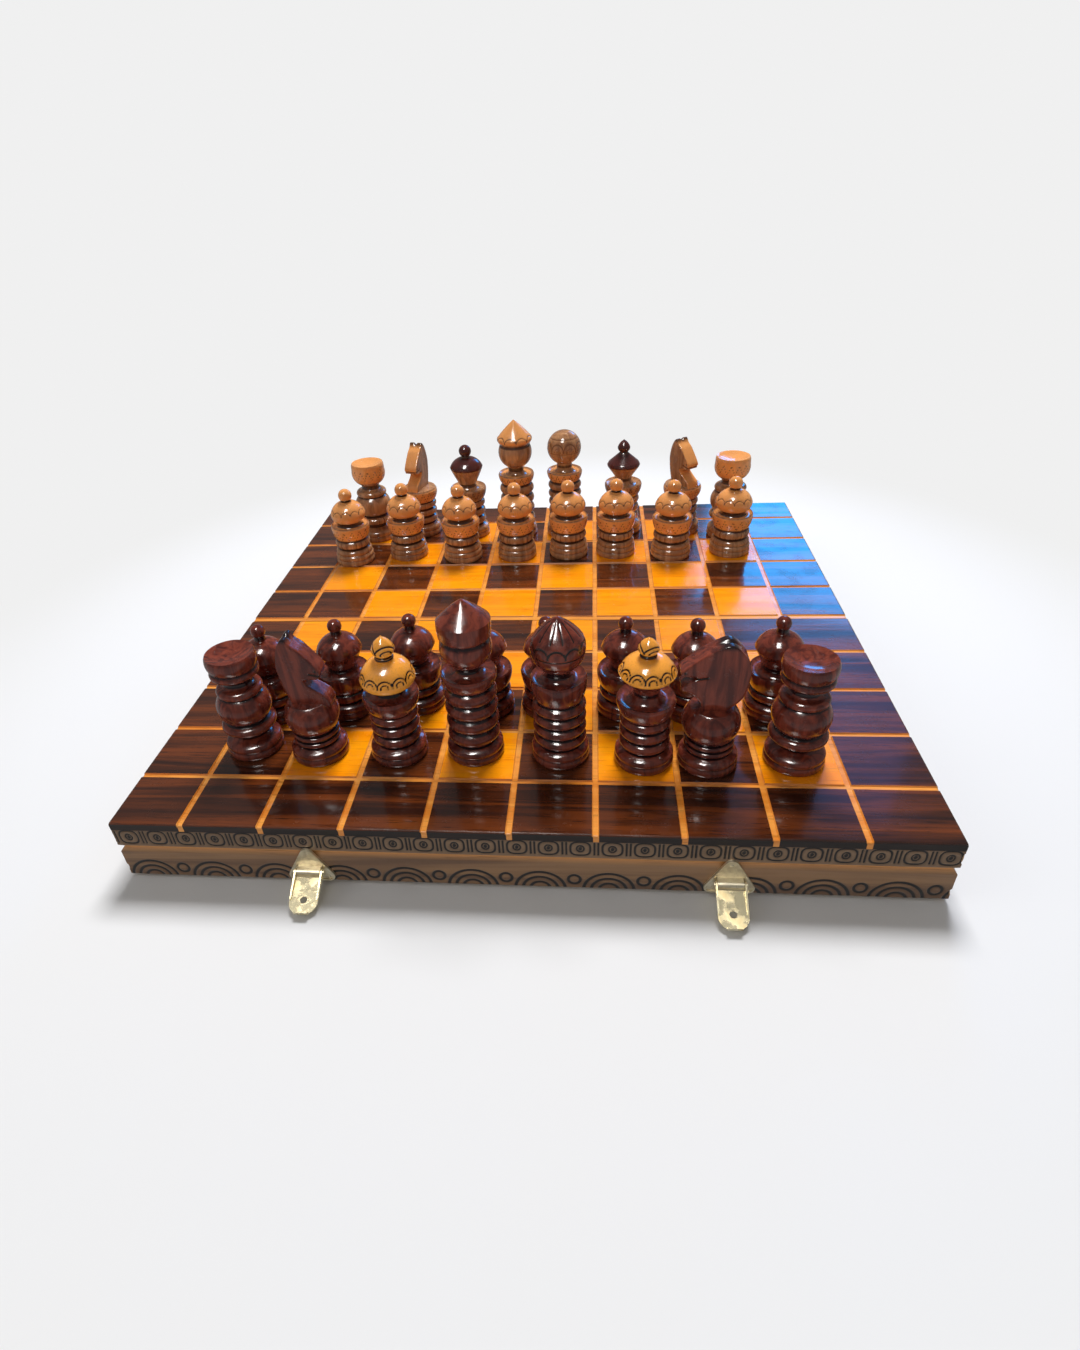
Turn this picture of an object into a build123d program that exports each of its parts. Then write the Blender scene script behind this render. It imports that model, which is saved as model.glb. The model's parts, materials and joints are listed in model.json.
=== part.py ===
"""Folding chess box with its 32 turned chessmen, lying open on the table, playing side up.

Millimetres. X runs along the fold to the right, Y away from the player, Z up. The origin is the
middle of the fold line, in the plane of the rims that the open box rests on.
"""

from build123d import *

import math
import os
from collections import namedtuple

os.makedirs("parts", exist_ok=True)

# Playing surface
SQUARE = 40.0
SQUARES = 8
LEFT_BORDER = 36.5
RIGHT_BORDER = 41.0
END_BORDER = 35.3
FAR_LEDGE = 2.9
GROOVE_WIDTH = 3.2
GROOVE_DEPTH = 0.8

# The two trays
HALF_HEIGHT = 36.0
PANEL_THICKNESS = 4.5
RAIL_THICKNESS = 9.0
FOLD_RAIL_THICKNESS = 10.0
FOLD_CLEARANCE = 0.3
V_GROOVE_CENTRE = 18.9
V_GROOVE_WIDTH = 4.6
V_GROOVE_DEPTH = 1.8

# Butt hinges of the fold
HINGE_PLACES = (-110.0, 110.0)
LEAF_LENGTH = 36.0
LEAF_REACH = 8.5
LEAF_THICKNESS = 1.0
KNUCKLE_RADIUS = 1.5
KNUCKLE_LENGTH = 12.0
KNUCKLE_GAP = 0.2
HINGE_PIN_RADIUS = 0.7
HINGE_PIN_HEAD = 1.1
HINGE_PIN_HEAD_LENGTH = 0.6
HINGE_NOTCH_CLEARANCE = 0.3
SCREW_SPACING = 22.0
SCREW_INSET = 5.2
SCREW_HEAD_RADIUS = 2.0
SCREW_RADIUS = 1.0
SCREW_LENGTH = 8.0
SCREW_SLOT = 0.5

# Clasps on the near edge and their catches on the far edge
CLASP_PLACES = {"left": -101.7, "right": 100.0}
CLASP_NAIL_SPACING = 16.8
CLASP_NAIL_LOW = 4.4
CLASP_NAIL_HIGH = 19.1
CLASP_CORNER = 3.3
CLASP_SHEET = 0.8
CLASP_RIM_WIDTH = 0.9
CLASP_RIM_HEIGHT = 0.5
BARREL_RADIUS = 2.1
BARREL_LENGTH = 11.8
BARREL_HEIGHT = 9.0
BARREL_REACH = 3.2
CLASP_PIN_RADIUS = 0.75
CLASP_PIN_HEAD = 1.3
CLASP_PIN_HEAD_LENGTH = 0.6
HASP_LENGTH = 20.5
HASP_HOLE_DISTANCE = 13.6
HASP_HOLE_RADIUS = 1.75
HASP_SHEET = 0.8
HASP_BACK_OFFSET = 1.6
HASP_TIP_RADIUS = 6.0
HASP_EAR_RADIUS = 2.0
HASP_EAR_GAP = 0.3
HASP_LIP_WIDTH = 7.0
HASP_LIP_HEIGHT = 2.4
HASP_REST_ANGLE = 70.0
NAIL_RADIUS = 0.6
NAIL_LENGTH = 6.0
NAIL_HEAD_RADIUS = 1.0
NAIL_HEAD_HEIGHT = 0.4
CATCH_LENGTH = 14.0
CATCH_WIDTH = 7.0
CATCH_SHEET = 0.6
CATCH_NAIL_SPACING = 9.6
STUD_RADIUS = 1.35
STUD_HEIGHT = 3.4

# Fits
PIN_CLEARANCE = 0.05
NAIL_CLEARANCE = 0.05

# Chessmen: feet and common rings
FOOT_RADIUS = 14.9
FOOT_HEIGHT = 8.2
WAIST_HEIGHT = 9.8
KNIGHT_THICKNESS = 10.5

# Values that follow from the sizes above
BOARD_WIDTH = LEFT_BORDER + SQUARES * SQUARE + RIGHT_BORDER
HALF_DEPTH = END_BORDER + SQUARES / 2 * SQUARE
FIELD_LEFT = LEFT_BORDER - BOARD_WIDTH / 2
RAIL_HEIGHT = HALF_HEIGHT - PANEL_THICKNESS
NEAR, FAR = -1, 1
LEFT, RIGHT = -1, 1
BARREL_Y = -HALF_DEPTH - BARREL_REACH
HASP_HALF_WIDTH = BARREL_LENGTH / 2 + HASP_EAR_GAP + HASP_SHEET
CATCH_CENTRE = HASP_HOLE_DISTANCE - BARREL_HEIGHT


def save(built, label):
    """Label a finished piece and write it as a STEP file of the same name."""
    built.part.label = label
    export_step(built.part, f"parts/{label}.step")


def row_line(side, index):
    """Y of the line on the field side of a row, counted from the fold; index 4 borders the edge."""
    start = FAR_LEDGE if side == FAR else 0
    return side * (start + index * SQUARE)


def make_panel(side, label):
    """The thin board that roofs a tray, with the orange grooves cut between its squares."""
    depth = HALF_DEPTH - FOLD_CLEARANCE
    middle = side * (HALF_DEPTH + FOLD_CLEARANCE) / 2
    with BuildPart() as panel:
        with BuildSketch(Plane.XY.offset(RAIL_HEIGHT)):
            with Locations((0, middle)):
                Rectangle(BOARD_WIDTH, depth)
        extrude(amount=PANEL_THICKNESS)
        with BuildSketch(Plane.XY.offset(HALF_HEIGHT)):
            column_lines = [(FIELD_LEFT + i * SQUARE, middle) for i in range(SQUARES + 1)]
            with Locations(*column_lines):
                Rectangle(GROOVE_WIDTH, depth)
            row_lines = [(0, row_line(side, i)) for i in range(1, SQUARES // 2 + 1)]
            with Locations(*row_lines):
                Rectangle(BOARD_WIDTH, GROOVE_WIDTH)
            ledge = abs(row_line(side, 0)) + GROOVE_WIDTH / 2
            with Locations((0, side * ledge / 2)):
                Rectangle(BOARD_WIDTH, ledge)
        extrude(amount=-GROOVE_DEPTH, mode=Mode.SUBTRACT)
    save(panel, label)


def rail_section(outer, inward):
    """Corners of an outer rail's section, a flat board with one V groove in its outer face."""
    low = V_GROOVE_CENTRE - V_GROOVE_WIDTH / 2
    high = V_GROOVE_CENTRE + V_GROOVE_WIDTH / 2
    inner = outer + inward * RAIL_THICKNESS
    groove = [(outer, low), (outer + inward * V_GROOVE_DEPTH, V_GROOVE_CENTRE), (outer, high)]
    return [(outer, 0), *groove, (outer, RAIL_HEIGHT), (inner, RAIL_HEIGHT), (inner, 0)]


def edge_plane(side, out):
    """Plane along the near or far edge, the given way outside it, facing out with Z upward."""
    return Plane(origin=(0, side * (HALF_DEPTH + out), 0), x_dir=(-side, 0, 0), z_dir=(0, side, 0))


def on_edge(side, places):
    """Places (x, z) turned into the coordinates of an edge plane."""
    return [(-side * x, z) for x, z in places]


def clasp_nail_places():
    """X and Z of the nails of both clasp plates."""
    return [place for x in CLASP_PLACES.values() for place in nail_triangle(x)]


def catch_nail_places():
    """X and Z of the two nails of each catch."""
    steps = (-CATCH_NAIL_SPACING / 2, CATCH_NAIL_SPACING / 2)
    return [(x + step, CATCH_CENTRE) for x in CLASP_PLACES.values() for step in steps]


def make_end_rail(side, label, places, sheet):
    """The mitred rail along the near or far edge, bored for the nails of its fittings."""
    bore_depth = NAIL_LENGTH - sheet + NAIL_CLEARANCE
    with BuildPart() as rail:
        with BuildSketch(Plane.YZ.offset(-BOARD_WIDTH / 2)):
            Polygon(*rail_section(side * HALF_DEPTH, -side), align=None)
        extrude(amount=BOARD_WIDTH)
        for hand in (LEFT, RIGHT):
            corner = (hand * BOARD_WIDTH / 2, side * HALF_DEPTH, 0)
            split(bisect_by=Plane(origin=corner, z_dir=(-hand, side, 0)), keep=Keep.TOP)
        with BuildSketch(edge_plane(side, 0)):
            with Locations(*on_edge(side, places)):
                Circle(NAIL_RADIUS + NAIL_CLEARANCE)
        extrude(amount=-bore_depth, mode=Mode.SUBTRACT)
    save(rail, label)


def make_side_rail(side, hand, label):
    """A rail along the left or right edge, mitred at the corner and square at the fold."""
    with BuildPart() as rail:
        with BuildSketch(Plane.XZ.offset(-side * FOLD_CLEARANCE)):
            Polygon(*rail_section(hand * BOARD_WIDTH / 2, -hand), align=None)
        extrude(amount=HALF_DEPTH - FOLD_CLEARANCE, dir=(0, side, 0))
        corner = (hand * BOARD_WIDTH / 2, side * HALF_DEPTH, 0)
        split(bisect_by=Plane(origin=corner, z_dir=(hand, -side, 0)), keep=Keep.TOP)
    save(rail, label)


def screw_places(side):
    """X and Y of the hinge screws on one side of the fold."""
    steps = (-SCREW_SPACING / 2, SCREW_SPACING / 2)
    return [(x + step, side * SCREW_INSET) for x in HINGE_PLACES for step in steps]


def make_fold_rail(side, label):
    """The rail along the fold, let in for the hinge leaves and notched for their knuckles."""
    width = BOARD_WIDTH - 2 * RAIL_THICKNESS
    notch = KNUCKLE_RADIUS + HINGE_NOTCH_CLEARANCE
    with BuildPart() as rail:
        with BuildSketch():
            with Locations((0, side * (FOLD_CLEARANCE + FOLD_RAIL_THICKNESS / 2))):
                Rectangle(width, FOLD_RAIL_THICKNESS)
        extrude(amount=RAIL_HEIGHT)
        with BuildSketch():
            with Locations(*[(x, side * LEAF_REACH / 2) for x in HINGE_PLACES]):
                Rectangle(LEAF_LENGTH, LEAF_REACH)
        extrude(amount=LEAF_THICKNESS, mode=Mode.SUBTRACT)
        for x in HINGE_PLACES:
            pin_length = LEAF_LENGTH + 2 * (HINGE_PIN_HEAD_LENGTH + KNUCKLE_GAP)
            with BuildSketch(Plane.YZ.offset(x - pin_length / 2)):
                Circle(notch)
            extrude(amount=pin_length, mode=Mode.SUBTRACT)
        with BuildSketch():
            with Locations(*screw_places(side)):
                Circle(SCREW_RADIUS + NAIL_CLEARANCE)
        extrude(amount=SCREW_LENGTH + NAIL_CLEARANCE, mode=Mode.SUBTRACT)
    save(rail, label)


def make_hinge_leaf(side, x, label):
    """A brass leaf with its share of the knuckles: two outer ones near, the middle one far."""
    end_segments = [x - KNUCKLE_LENGTH, x + KNUCKLE_LENGTH]
    own, other = (end_segments, [x]) if side == NEAR else ([x], end_segments)
    cut_back = KNUCKLE_RADIUS + HINGE_NOTCH_CLEARANCE
    with BuildPart() as leaf:
        with BuildSketch():
            with Locations((x, side * LEAF_REACH / 2)):
                Rectangle(LEAF_LENGTH, LEAF_REACH)
            with Locations(*[(place, 0) for place in other]):
                Rectangle(KNUCKLE_LENGTH + 2 * KNUCKLE_GAP, 2 * cut_back, mode=Mode.SUBTRACT)
        extrude(amount=LEAF_THICKNESS)
        for place in own:
            length = KNUCKLE_LENGTH - KNUCKLE_GAP
            with BuildSketch(Plane.YZ.offset(place - length / 2)):
                Circle(KNUCKLE_RADIUS)
            extrude(amount=length)
        with BuildSketch(Plane.YZ.offset(x - LEAF_LENGTH / 2)):
            Circle(HINGE_PIN_RADIUS + PIN_CLEARANCE)
        extrude(amount=LEAF_LENGTH, mode=Mode.SUBTRACT)
        for place in (x - SCREW_SPACING / 2, x + SCREW_SPACING / 2):
            with Locations((place, side * SCREW_INSET, 0)):
                Cone(
                    SCREW_HEAD_RADIUS + NAIL_CLEARANCE,
                    SCREW_RADIUS + NAIL_CLEARANCE,
                    LEAF_THICKNESS,
                    align=(Align.CENTER, Align.CENTER, Align.MIN),
                    mode=Mode.SUBTRACT,
                )
    save(leaf, label)


def make_hinge_pins():
    """The two hinge pins, each with a small head at both ends."""
    with BuildPart() as pins:
        for x in HINGE_PLACES:
            length = LEAF_LENGTH + 2 * KNUCKLE_GAP
            with BuildSketch(Plane.YZ.offset(x - length / 2)):
                Circle(HINGE_PIN_RADIUS)
            extrude(amount=length)
            for hand in (LEFT, RIGHT):
                with BuildSketch(Plane.YZ.offset(x + hand * length / 2)):
                    Circle(HINGE_PIN_HEAD)
                extrude(amount=HINGE_PIN_HEAD_LENGTH, dir=(hand, 0, 0))
    save(pins, "hinge_pins")


def make_hinge_screws(side, label):
    """Countersunk slotted screws that hold the leaves to one fold rail."""
    with BuildPart() as screws:
        for place in screw_places(side):
            with BuildSketch(Plane.XZ.offset(-place[1])):
                with BuildLine():
                    Polyline(
                        (place[0], 0),
                        (place[0] + SCREW_HEAD_RADIUS, 0),
                        (place[0] + SCREW_RADIUS, LEAF_THICKNESS),
                        (place[0] + SCREW_RADIUS, SCREW_LENGTH - SCREW_RADIUS),
                        (place[0], SCREW_LENGTH),
                        close=True,
                    )
                make_face()
            revolve(axis=Axis((place[0], place[1], 0), (0, 0, 1)))
        with BuildSketch():
            with Locations(*screw_places(side)):
                Rectangle(2 * SCREW_HEAD_RADIUS, SCREW_SLOT)
        extrude(amount=LEAF_THICKNESS / 2, mode=Mode.SUBTRACT)
    save(screws, label)


def nail_triangle(centre):
    """X and Z of the three nails of one clasp plate."""
    low_left = (centre - CLASP_NAIL_SPACING / 2, CLASP_NAIL_LOW)
    low_right = (centre + CLASP_NAIL_SPACING / 2, CLASP_NAIL_LOW)
    return [(centre, CLASP_NAIL_HIGH), low_left, low_right]


def make_clasp_plate(centre, label):
    """Three-cornered clasp plate with a raised rim, and the barrel rolled out of its sheet."""
    with BuildPart() as plate:
        with BuildSketch(edge_plane(NEAR, 0)):
            Polygon(*nail_triangle(centre), align=None)
            offset(amount=CLASP_CORNER)
        extrude(amount=CLASP_SHEET + CLASP_RIM_HEIGHT)
        with BuildSketch(edge_plane(NEAR, CLASP_SHEET)):
            Polygon(*nail_triangle(centre), align=None)
            offset(amount=CLASP_CORNER - CLASP_RIM_WIDTH)
        extrude(amount=CLASP_RIM_HEIGHT, mode=Mode.SUBTRACT)
        with BuildSketch(Plane.YZ.offset(centre - BARREL_LENGTH / 2)):
            with Locations((BARREL_Y, BARREL_HEIGHT)):
                Circle(BARREL_RADIUS)
            web_depth = BARREL_REACH
            with Locations((BARREL_Y, BARREL_HEIGHT)):
                Rectangle(web_depth, BARREL_RADIUS, align=(Align.MIN, Align.MIN))
            with Locations((BARREL_Y, BARREL_HEIGHT)):
                Circle(CLASP_PIN_RADIUS + PIN_CLEARANCE, mode=Mode.SUBTRACT)
        extrude(amount=BARREL_LENGTH)
        with BuildSketch(edge_plane(NEAR, 0)):
            with Locations(*nail_triangle(centre)):
                Circle(NAIL_RADIUS + NAIL_CLEARANCE)
        extrude(amount=CLASP_SHEET, mode=Mode.SUBTRACT)
    save(plate, label)


def hasp_plane(centre, out):
    """Plane of a hasp's sheet at rest: X along its pin, Y back to the pin, Z off its front."""
    angle = math.radians(HASP_REST_ANGLE)
    front = (0, -math.cos(angle), math.sin(angle))
    origin = (centre, BARREL_Y + out * front[1], BARREL_HEIGHT + out * front[2])
    return Plane(origin=origin, x_dir=(1, 0, 0), z_dir=front)


def ear_plane(x):
    """Plane square to a hasp's pin: X runs out along the hasp, Y to its back."""
    angle = math.radians(HASP_REST_ANGLE)
    along = (0, -math.sin(angle), -math.cos(angle))
    return Plane(origin=(x, BARREL_Y, BARREL_HEIGHT), x_dir=along, z_dir=(1, 0, 0))


def make_clasp_hasp(centre, label):
    """The swinging hasp: a sheet with a hole and a turned-up lip, hung by two ears."""
    start = BARREL_RADIUS + HASP_EAR_GAP
    length = HASP_LENGTH - start
    with BuildPart() as hasp:
        with BuildSketch(hasp_plane(centre, -HASP_BACK_OFFSET)):
            with Locations((0, -start)):
                Rectangle(2 * HASP_HALF_WIDTH, length, align=(Align.CENTER, Align.MAX))
        extrude(amount=HASP_SHEET)
        for x in (centre - HASP_HALF_WIDTH, centre + HASP_HALF_WIDTH - HASP_SHEET):
            with BuildSketch(ear_plane(x)):
                Circle(HASP_EAR_RADIUS)
                with BuildLine():
                    Polyline(
                        (0, HASP_BACK_OFFSET),
                        (HASP_HOLE_DISTANCE, HASP_BACK_OFFSET),
                        (HASP_HOLE_DISTANCE, 0),
                        (HASP_HOLE_DISTANCE / 2, -HASP_SHEET),
                        (0, -HASP_EAR_RADIUS),
                        close=True,
                    )
                make_face()
            extrude(amount=HASP_SHEET)
        tip_edges = hasp.edges().filter_by(Axis((0, 0, 0), hasp_plane(centre, 0).z_dir))
        fillet(tip_edges.sort_by(Axis.Y)[:2], radius=HASP_TIP_RADIUS)
        with BuildSketch(hasp_plane(centre, -HASP_BACK_OFFSET)):
            with Locations((0, -HASP_LENGTH)):
                Rectangle(HASP_LIP_WIDTH, HASP_SHEET, align=(Align.CENTER, Align.MIN))
        extrude(amount=HASP_LIP_HEIGHT)
        with BuildSketch(hasp_plane(centre, -HASP_BACK_OFFSET)):
            with Locations((0, -HASP_HOLE_DISTANCE)):
                Circle(HASP_HOLE_RADIUS)
        extrude(amount=HASP_SHEET, mode=Mode.SUBTRACT)
        with BuildSketch(ear_plane(centre - HASP_HALF_WIDTH)):
            Circle(CLASP_PIN_RADIUS + PIN_CLEARANCE)
        extrude(amount=2 * HASP_HALF_WIDTH, mode=Mode.SUBTRACT)
    save(hasp, label)


def make_clasp_pins():
    """The pins that the hasps swing on, headed outside their ears."""
    length = 2 * (HASP_HALF_WIDTH + PIN_CLEARANCE)
    with BuildPart() as pins:
        for centre in CLASP_PLACES.values():
            with BuildSketch(Plane.YZ.offset(centre - length / 2)):
                with Locations((BARREL_Y, BARREL_HEIGHT)):
                    Circle(CLASP_PIN_RADIUS)
            extrude(amount=length)
            for hand in (LEFT, RIGHT):
                with BuildSketch(Plane.YZ.offset(centre + hand * length / 2)):
                    with Locations((BARREL_Y, BARREL_HEIGHT)):
                        Circle(CLASP_PIN_HEAD)
                extrude(amount=CLASP_PIN_HEAD_LENGTH, dir=(hand, 0, 0))
    save(pins, "clasp_pins")


def make_nails(side, places, sheet, label):
    """Round nails with small bevelled heads, driven through a sheet into a rail."""
    face_y = side * (HALF_DEPTH + sheet)
    with BuildPart() as nails:
        for x, z in places:
            point_y = face_y - side * NAIL_LENGTH
            corners = [
                (x, face_y + side * NAIL_HEAD_HEIGHT),
                (x + NAIL_HEAD_RADIUS / 2, face_y + side * NAIL_HEAD_HEIGHT),
                (x + NAIL_HEAD_RADIUS, face_y),
                (x + NAIL_RADIUS, face_y),
                (x + NAIL_RADIUS, point_y + side * 2 * NAIL_RADIUS),
                (x, point_y),
            ]
            with BuildSketch(Plane.XY.offset(z)):
                Polygon(*corners, align=None)
            revolve(axis=Axis((x, 0, z), (0, 1, 0)))
    save(nails, label)


def make_catch(centre, label):
    """Oval catch plate with the round-nosed stud that the closed hasp drops over."""
    with BuildPart() as catch:
        with BuildSketch(edge_plane(FAR, 0)):
            with Locations(*on_edge(FAR, [(centre, CATCH_CENTRE)])):
                SlotOverall(CATCH_LENGTH, CATCH_WIDTH)
            with Locations(*on_edge(FAR, catch_nail_places())):
                Circle(NAIL_RADIUS + NAIL_CLEARANCE, mode=Mode.SUBTRACT)
        extrude(amount=CATCH_SHEET)
        with BuildSketch(Plane.XY.offset(CATCH_CENTRE)):
            with BuildLine():
                shoulder_y = HALF_DEPTH + STUD_HEIGHT - STUD_RADIUS
                nose_y = HALF_DEPTH + STUD_HEIGHT
                middle = STUD_RADIUS * math.sqrt(0.5)
                Line((centre, HALF_DEPTH), (centre + STUD_RADIUS, HALF_DEPTH))
                Line((centre + STUD_RADIUS, HALF_DEPTH), (centre + STUD_RADIUS, shoulder_y))
                ThreePointArc(
                    (centre + STUD_RADIUS, shoulder_y),
                    (centre + middle, shoulder_y + middle),
                    (centre, nose_y),
                )
                Line((centre, nose_y), (centre, HALF_DEPTH))
            make_face()
        revolve(axis=Axis((centre, 0, CATCH_CENTRE), (0, 1, 0)))
    save(catch, label)


# Chessmen. An outline is a list of corners (radius, height) from the foot up. An Arc ends at a
# corner and bulges through another point on the way.
Arc = namedtuple("Arc", "through end")
Man = namedtuple("Man", "name column row shift_x shift_y shape")


def foot():
    """Flat foot with two rolled edges, up to the waist."""
    return [
        (FOOT_RADIUS - 0.8, 0),
        Arc((FOOT_RADIUS, 2.2), (FOOT_RADIUS - 0.8, 4.4)),
        Arc((FOOT_RADIUS - 0.3, 6.3), (FOOT_RADIUS - 1.6, FOOT_HEIGHT)),
        (FOOT_RADIUS - 4.6, WAIST_HEIGHT),
    ]


def rings(bottom, top, count, neck, rim):
    """A stack of equal rounded rings."""
    pitch = (top - bottom) / count
    outline = [(neck, bottom)]
    for i in range(count):
        low = bottom + i * pitch
        outline.append(Arc((rim, low + pitch / 2), (neck, low + pitch)))
    return outline


def cup(bottom, height, rim, neck, neck_height):
    """Flared cup with a thin lip and a dished top, closing on the neck of the head."""
    lip = bottom + height
    return [
        (rim - 2.6, bottom),
        Arc((rim - 0.6, bottom + height * 0.4), (rim, lip - 1.2)),
        (rim - 0.6, lip),
        Arc(((rim + neck) / 2 + 0.6, lip - 1.4), (neck, neck_height)),
    ]


def ball(neck, radius, top):
    """Ball of the given radius on a neck, to the tip of the man."""
    centre = top - radius
    return [(neck, centre - math.sqrt(radius**2 - neck**2)), Arc((radius, centre), (0, top))]


def dish(rim, rim_height, floor):
    """Shallow round hollow from a rim down to the axis."""
    centre = (rim**2 + rim_height**2 - floor**2) / (2 * (rim_height - floor))
    radius = centre - floor
    half_way = centre - math.sqrt(radius**2 - (rim / 2) ** 2)
    return [(rim, rim_height), Arc((rim / 2, half_way), (0, floor))]


def king():
    """Ring stack, cup, ball head under a pointed hood."""
    return (
        foot()
        + rings(WAIST_HEIGHT, 42.6, 4, 10.8, 13.4)
        + cup(42.6, 8.2, 14.0, 5.9, 52.4)
        + [(5.9, 55.6), Arc((12.9, 66.4), (11.4, 73.2)), (13.2, 77.0), (12.9, 78.6)]
        + [Arc((7.4, 85.2), (0.8, 91.2)), (0, 91.5)]
    )


def near_queen():
    """Ring stack, tall cup, onion head with a low point."""
    return (
        foot()
        + rings(WAIST_HEIGHT, 35.6, 4, 10.8, 13.3)
        + cup(35.6, 13.2, 13.9, 6.2, 50.2)
        + [(6.2, 53.0), Arc((12.2, 61.0), (13.0, 69.0)), (12.0, 71.4)]
        + [Arc((6.6, 77.6), (0.8, 82.3)), (0, 82.5)]
    )


def far_queen():
    """Ring stack, cup and a plain ball head."""
    return (
        foot()
        + rings(WAIST_HEIGHT, 43.8, 5, 10.6, 12.9)
        + cup(43.8, 8.2, 13.7, 5.9, 53.4)
        + ball(5.9, 13.0, 82.5)
    )


def bishop(stack_top, cap_rim, rim_height, knob_radius, top):
    """Ring stack, cup, wide cap and knob."""
    cap_top = rim_height + 8.6
    return (
        foot()
        + rings(WAIST_HEIGHT, stack_top, 3, 9.8, 12.6)
        + cup(stack_top, 9.4, 14.4, 6.4, stack_top + 11.6)
        + [(7.4, rim_height - 7.2), (cap_rim - 0.6, rim_height - 1.4), (cap_rim, rim_height)]
        + [(cap_rim - 0.8, rim_height + 1.6), Arc((cap_rim * 0.62, cap_top - 2.0), (3.6, cap_top))]
        + ball(2.9, knob_radius, top)
    )


def rook_body():
    """Waisted foot and barrel body between rings, up to the neck of the turret."""
    return (
        foot()
        + [(8.6, 11.2), (8.6, 13.6), (12.2, 14.6)]
        + [Arc((14.2, 17.2), (12.2, 19.6)), (10.8, 20.6)]
        + [Arc((14.2, 28.4), (10.6, 36.4))]
        + [Arc((11.9, 38.8), (9.8, 41.0)), Arc((7.0, 43.2), (7.4, 45.4))]
    )


def near_rook():
    """Rook with a ring under its turret and a dished top."""
    return (
        rook_body()
        + [(11.4, 47.4), Arc((12.6, 49.2), (12.0, 50.8)), (11.6, 51.4)]
        + [Arc((13.0, 55.2), (12.7, 58.8)), (12.2, 59.8)]
        + dish(11.2, 59.3, 56.4)
    )


def far_rook():
    """Rook with a plain bowl for a turret and a dished top."""
    return (
        rook_body()
        + [(10.6, 48.6), Arc((12.7, 54.4), (12.9, 61.2)), (12.2, 62.6)]
        + dish(11.2, 62.0, 59.0)
    )


def near_pawn():
    """Ring, cup, domed cap with a sharp edge, and a ball knob."""
    return (
        foot()
        + [(10.6, WAIST_HEIGHT), Arc((13.2, 12.6), (11.6, 15.6))]
        + cup(15.6, 11.0, 14.6, 8.4, 28.6)
        + [(8.6, 31.0), Arc((10.2, 34.6), (12.6, 39.4)), (12.2, 40.6), Arc((8.3, 46.2), (3.2, 48.6))]
        + ball(2.8, 3.9, 57.8)
    )


def far_pawn():
    """Foot with a third roll, ring, high cup, full round cap and a ball knob."""
    return (
        foot()[:-1]
        + [Arc((FOOT_RADIUS - 1.2, 10.4), (FOOT_RADIUS - 2.6, 12.0)), (10.8, 13.0)]
        + [Arc((13.4, 16.2), (11.8, 19.4))]
        + cup(19.6, 11.4, 14.6, 9.4, 32.4)
        + [(9.6, 33.2), Arc((12.4, 35.8), (13.1, 39.6)), (12.7, 40.8), Arc((8.6, 46.2), (3.2, 48.6))]
        + ball(2.8, 5.0, 57.8)
    )


def near_knight():
    """Ring, ball body with a flat top for the horse's neck."""
    return (
        foot()
        + rings(WAIST_HEIGHT, 17.4, 2, 10.8, 12.2)
        + [Arc((14.1, 26.6), (10.4, 34.6)), (0, 35.4)]
    )


def far_knight():
    """Rings and a cup with a flat top for the horse's neck."""
    return (
        foot()
        + rings(WAIST_HEIGHT, 28.0, 3, 10.2, 12.8)
        + [(11.6, 28.0), Arc((13.8, 31.4), (14.3, 36.4)), (13.2, 38.2), (0, 39.4)]
    )


SHAPES = {
    "king": king(),
    "near_queen": near_queen(),
    "far_queen": far_queen(),
    "near_bishop_low": bishop(29.6, 13.8, 48.6, 5.7, 71.4),
    "near_bishop": bishop(29.6, 13.8, 53.4, 5.1, 72.2),
    "far_bishop": bishop(30.4, 12.6, 55.8, 4.6, 73.0),
    "near_rook": near_rook(),
    "far_rook": far_rook(),
    "near_pawn": near_pawn(),
    "far_pawn": far_pawn(),
    "near_knight": near_knight(),
    "far_knight": far_knight(),
}

# Side view of a horse's head and neck: forward reach and height as shares of the neck's height.
SLIM_HORSE = (
    [(-7.5, 0.0), (-10.2, 0.3), (-11.0, 0.6), (-8.4, 0.87), (-4.4, 1.0), (-1.6, 0.9)]
    + [(2.4, 0.81), (9.4, 0.56), (10.6, 0.46), (8.8, 0.39), (1.6, 0.38), (3.2, 0.27)]
    + [(10.6, 0.12), (12.6, 0.0)]
)
BROAD_HORSE = (
    [(-6.0, 0.0), (-12.6, 0.18), (-14.6, 0.48), (-10.6, 0.82), (-3.4, 1.0), (3.6, 0.95)]
    + [(11.4, 0.73), (13.6, 0.55), (11.6, 0.46), (4.6, 0.44), (3.6, 0.39), (11.6, 0.28)]
    + [(12.4, 0.2), (8.2, 0.1), (6.0, 0.0)]
)
# Facing direction in degrees from +X, height of the top, outline
HORSES = {
    "near_knight_left": (0, 72.6, SLIM_HORSE),
    "near_knight_right": (180, 73.4, BROAD_HORSE),
    "far_knight_left": (-90, 73.6, SLIM_HORSE),
    "far_knight_right": (-35, 73.6, SLIM_HORSE),
}

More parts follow.
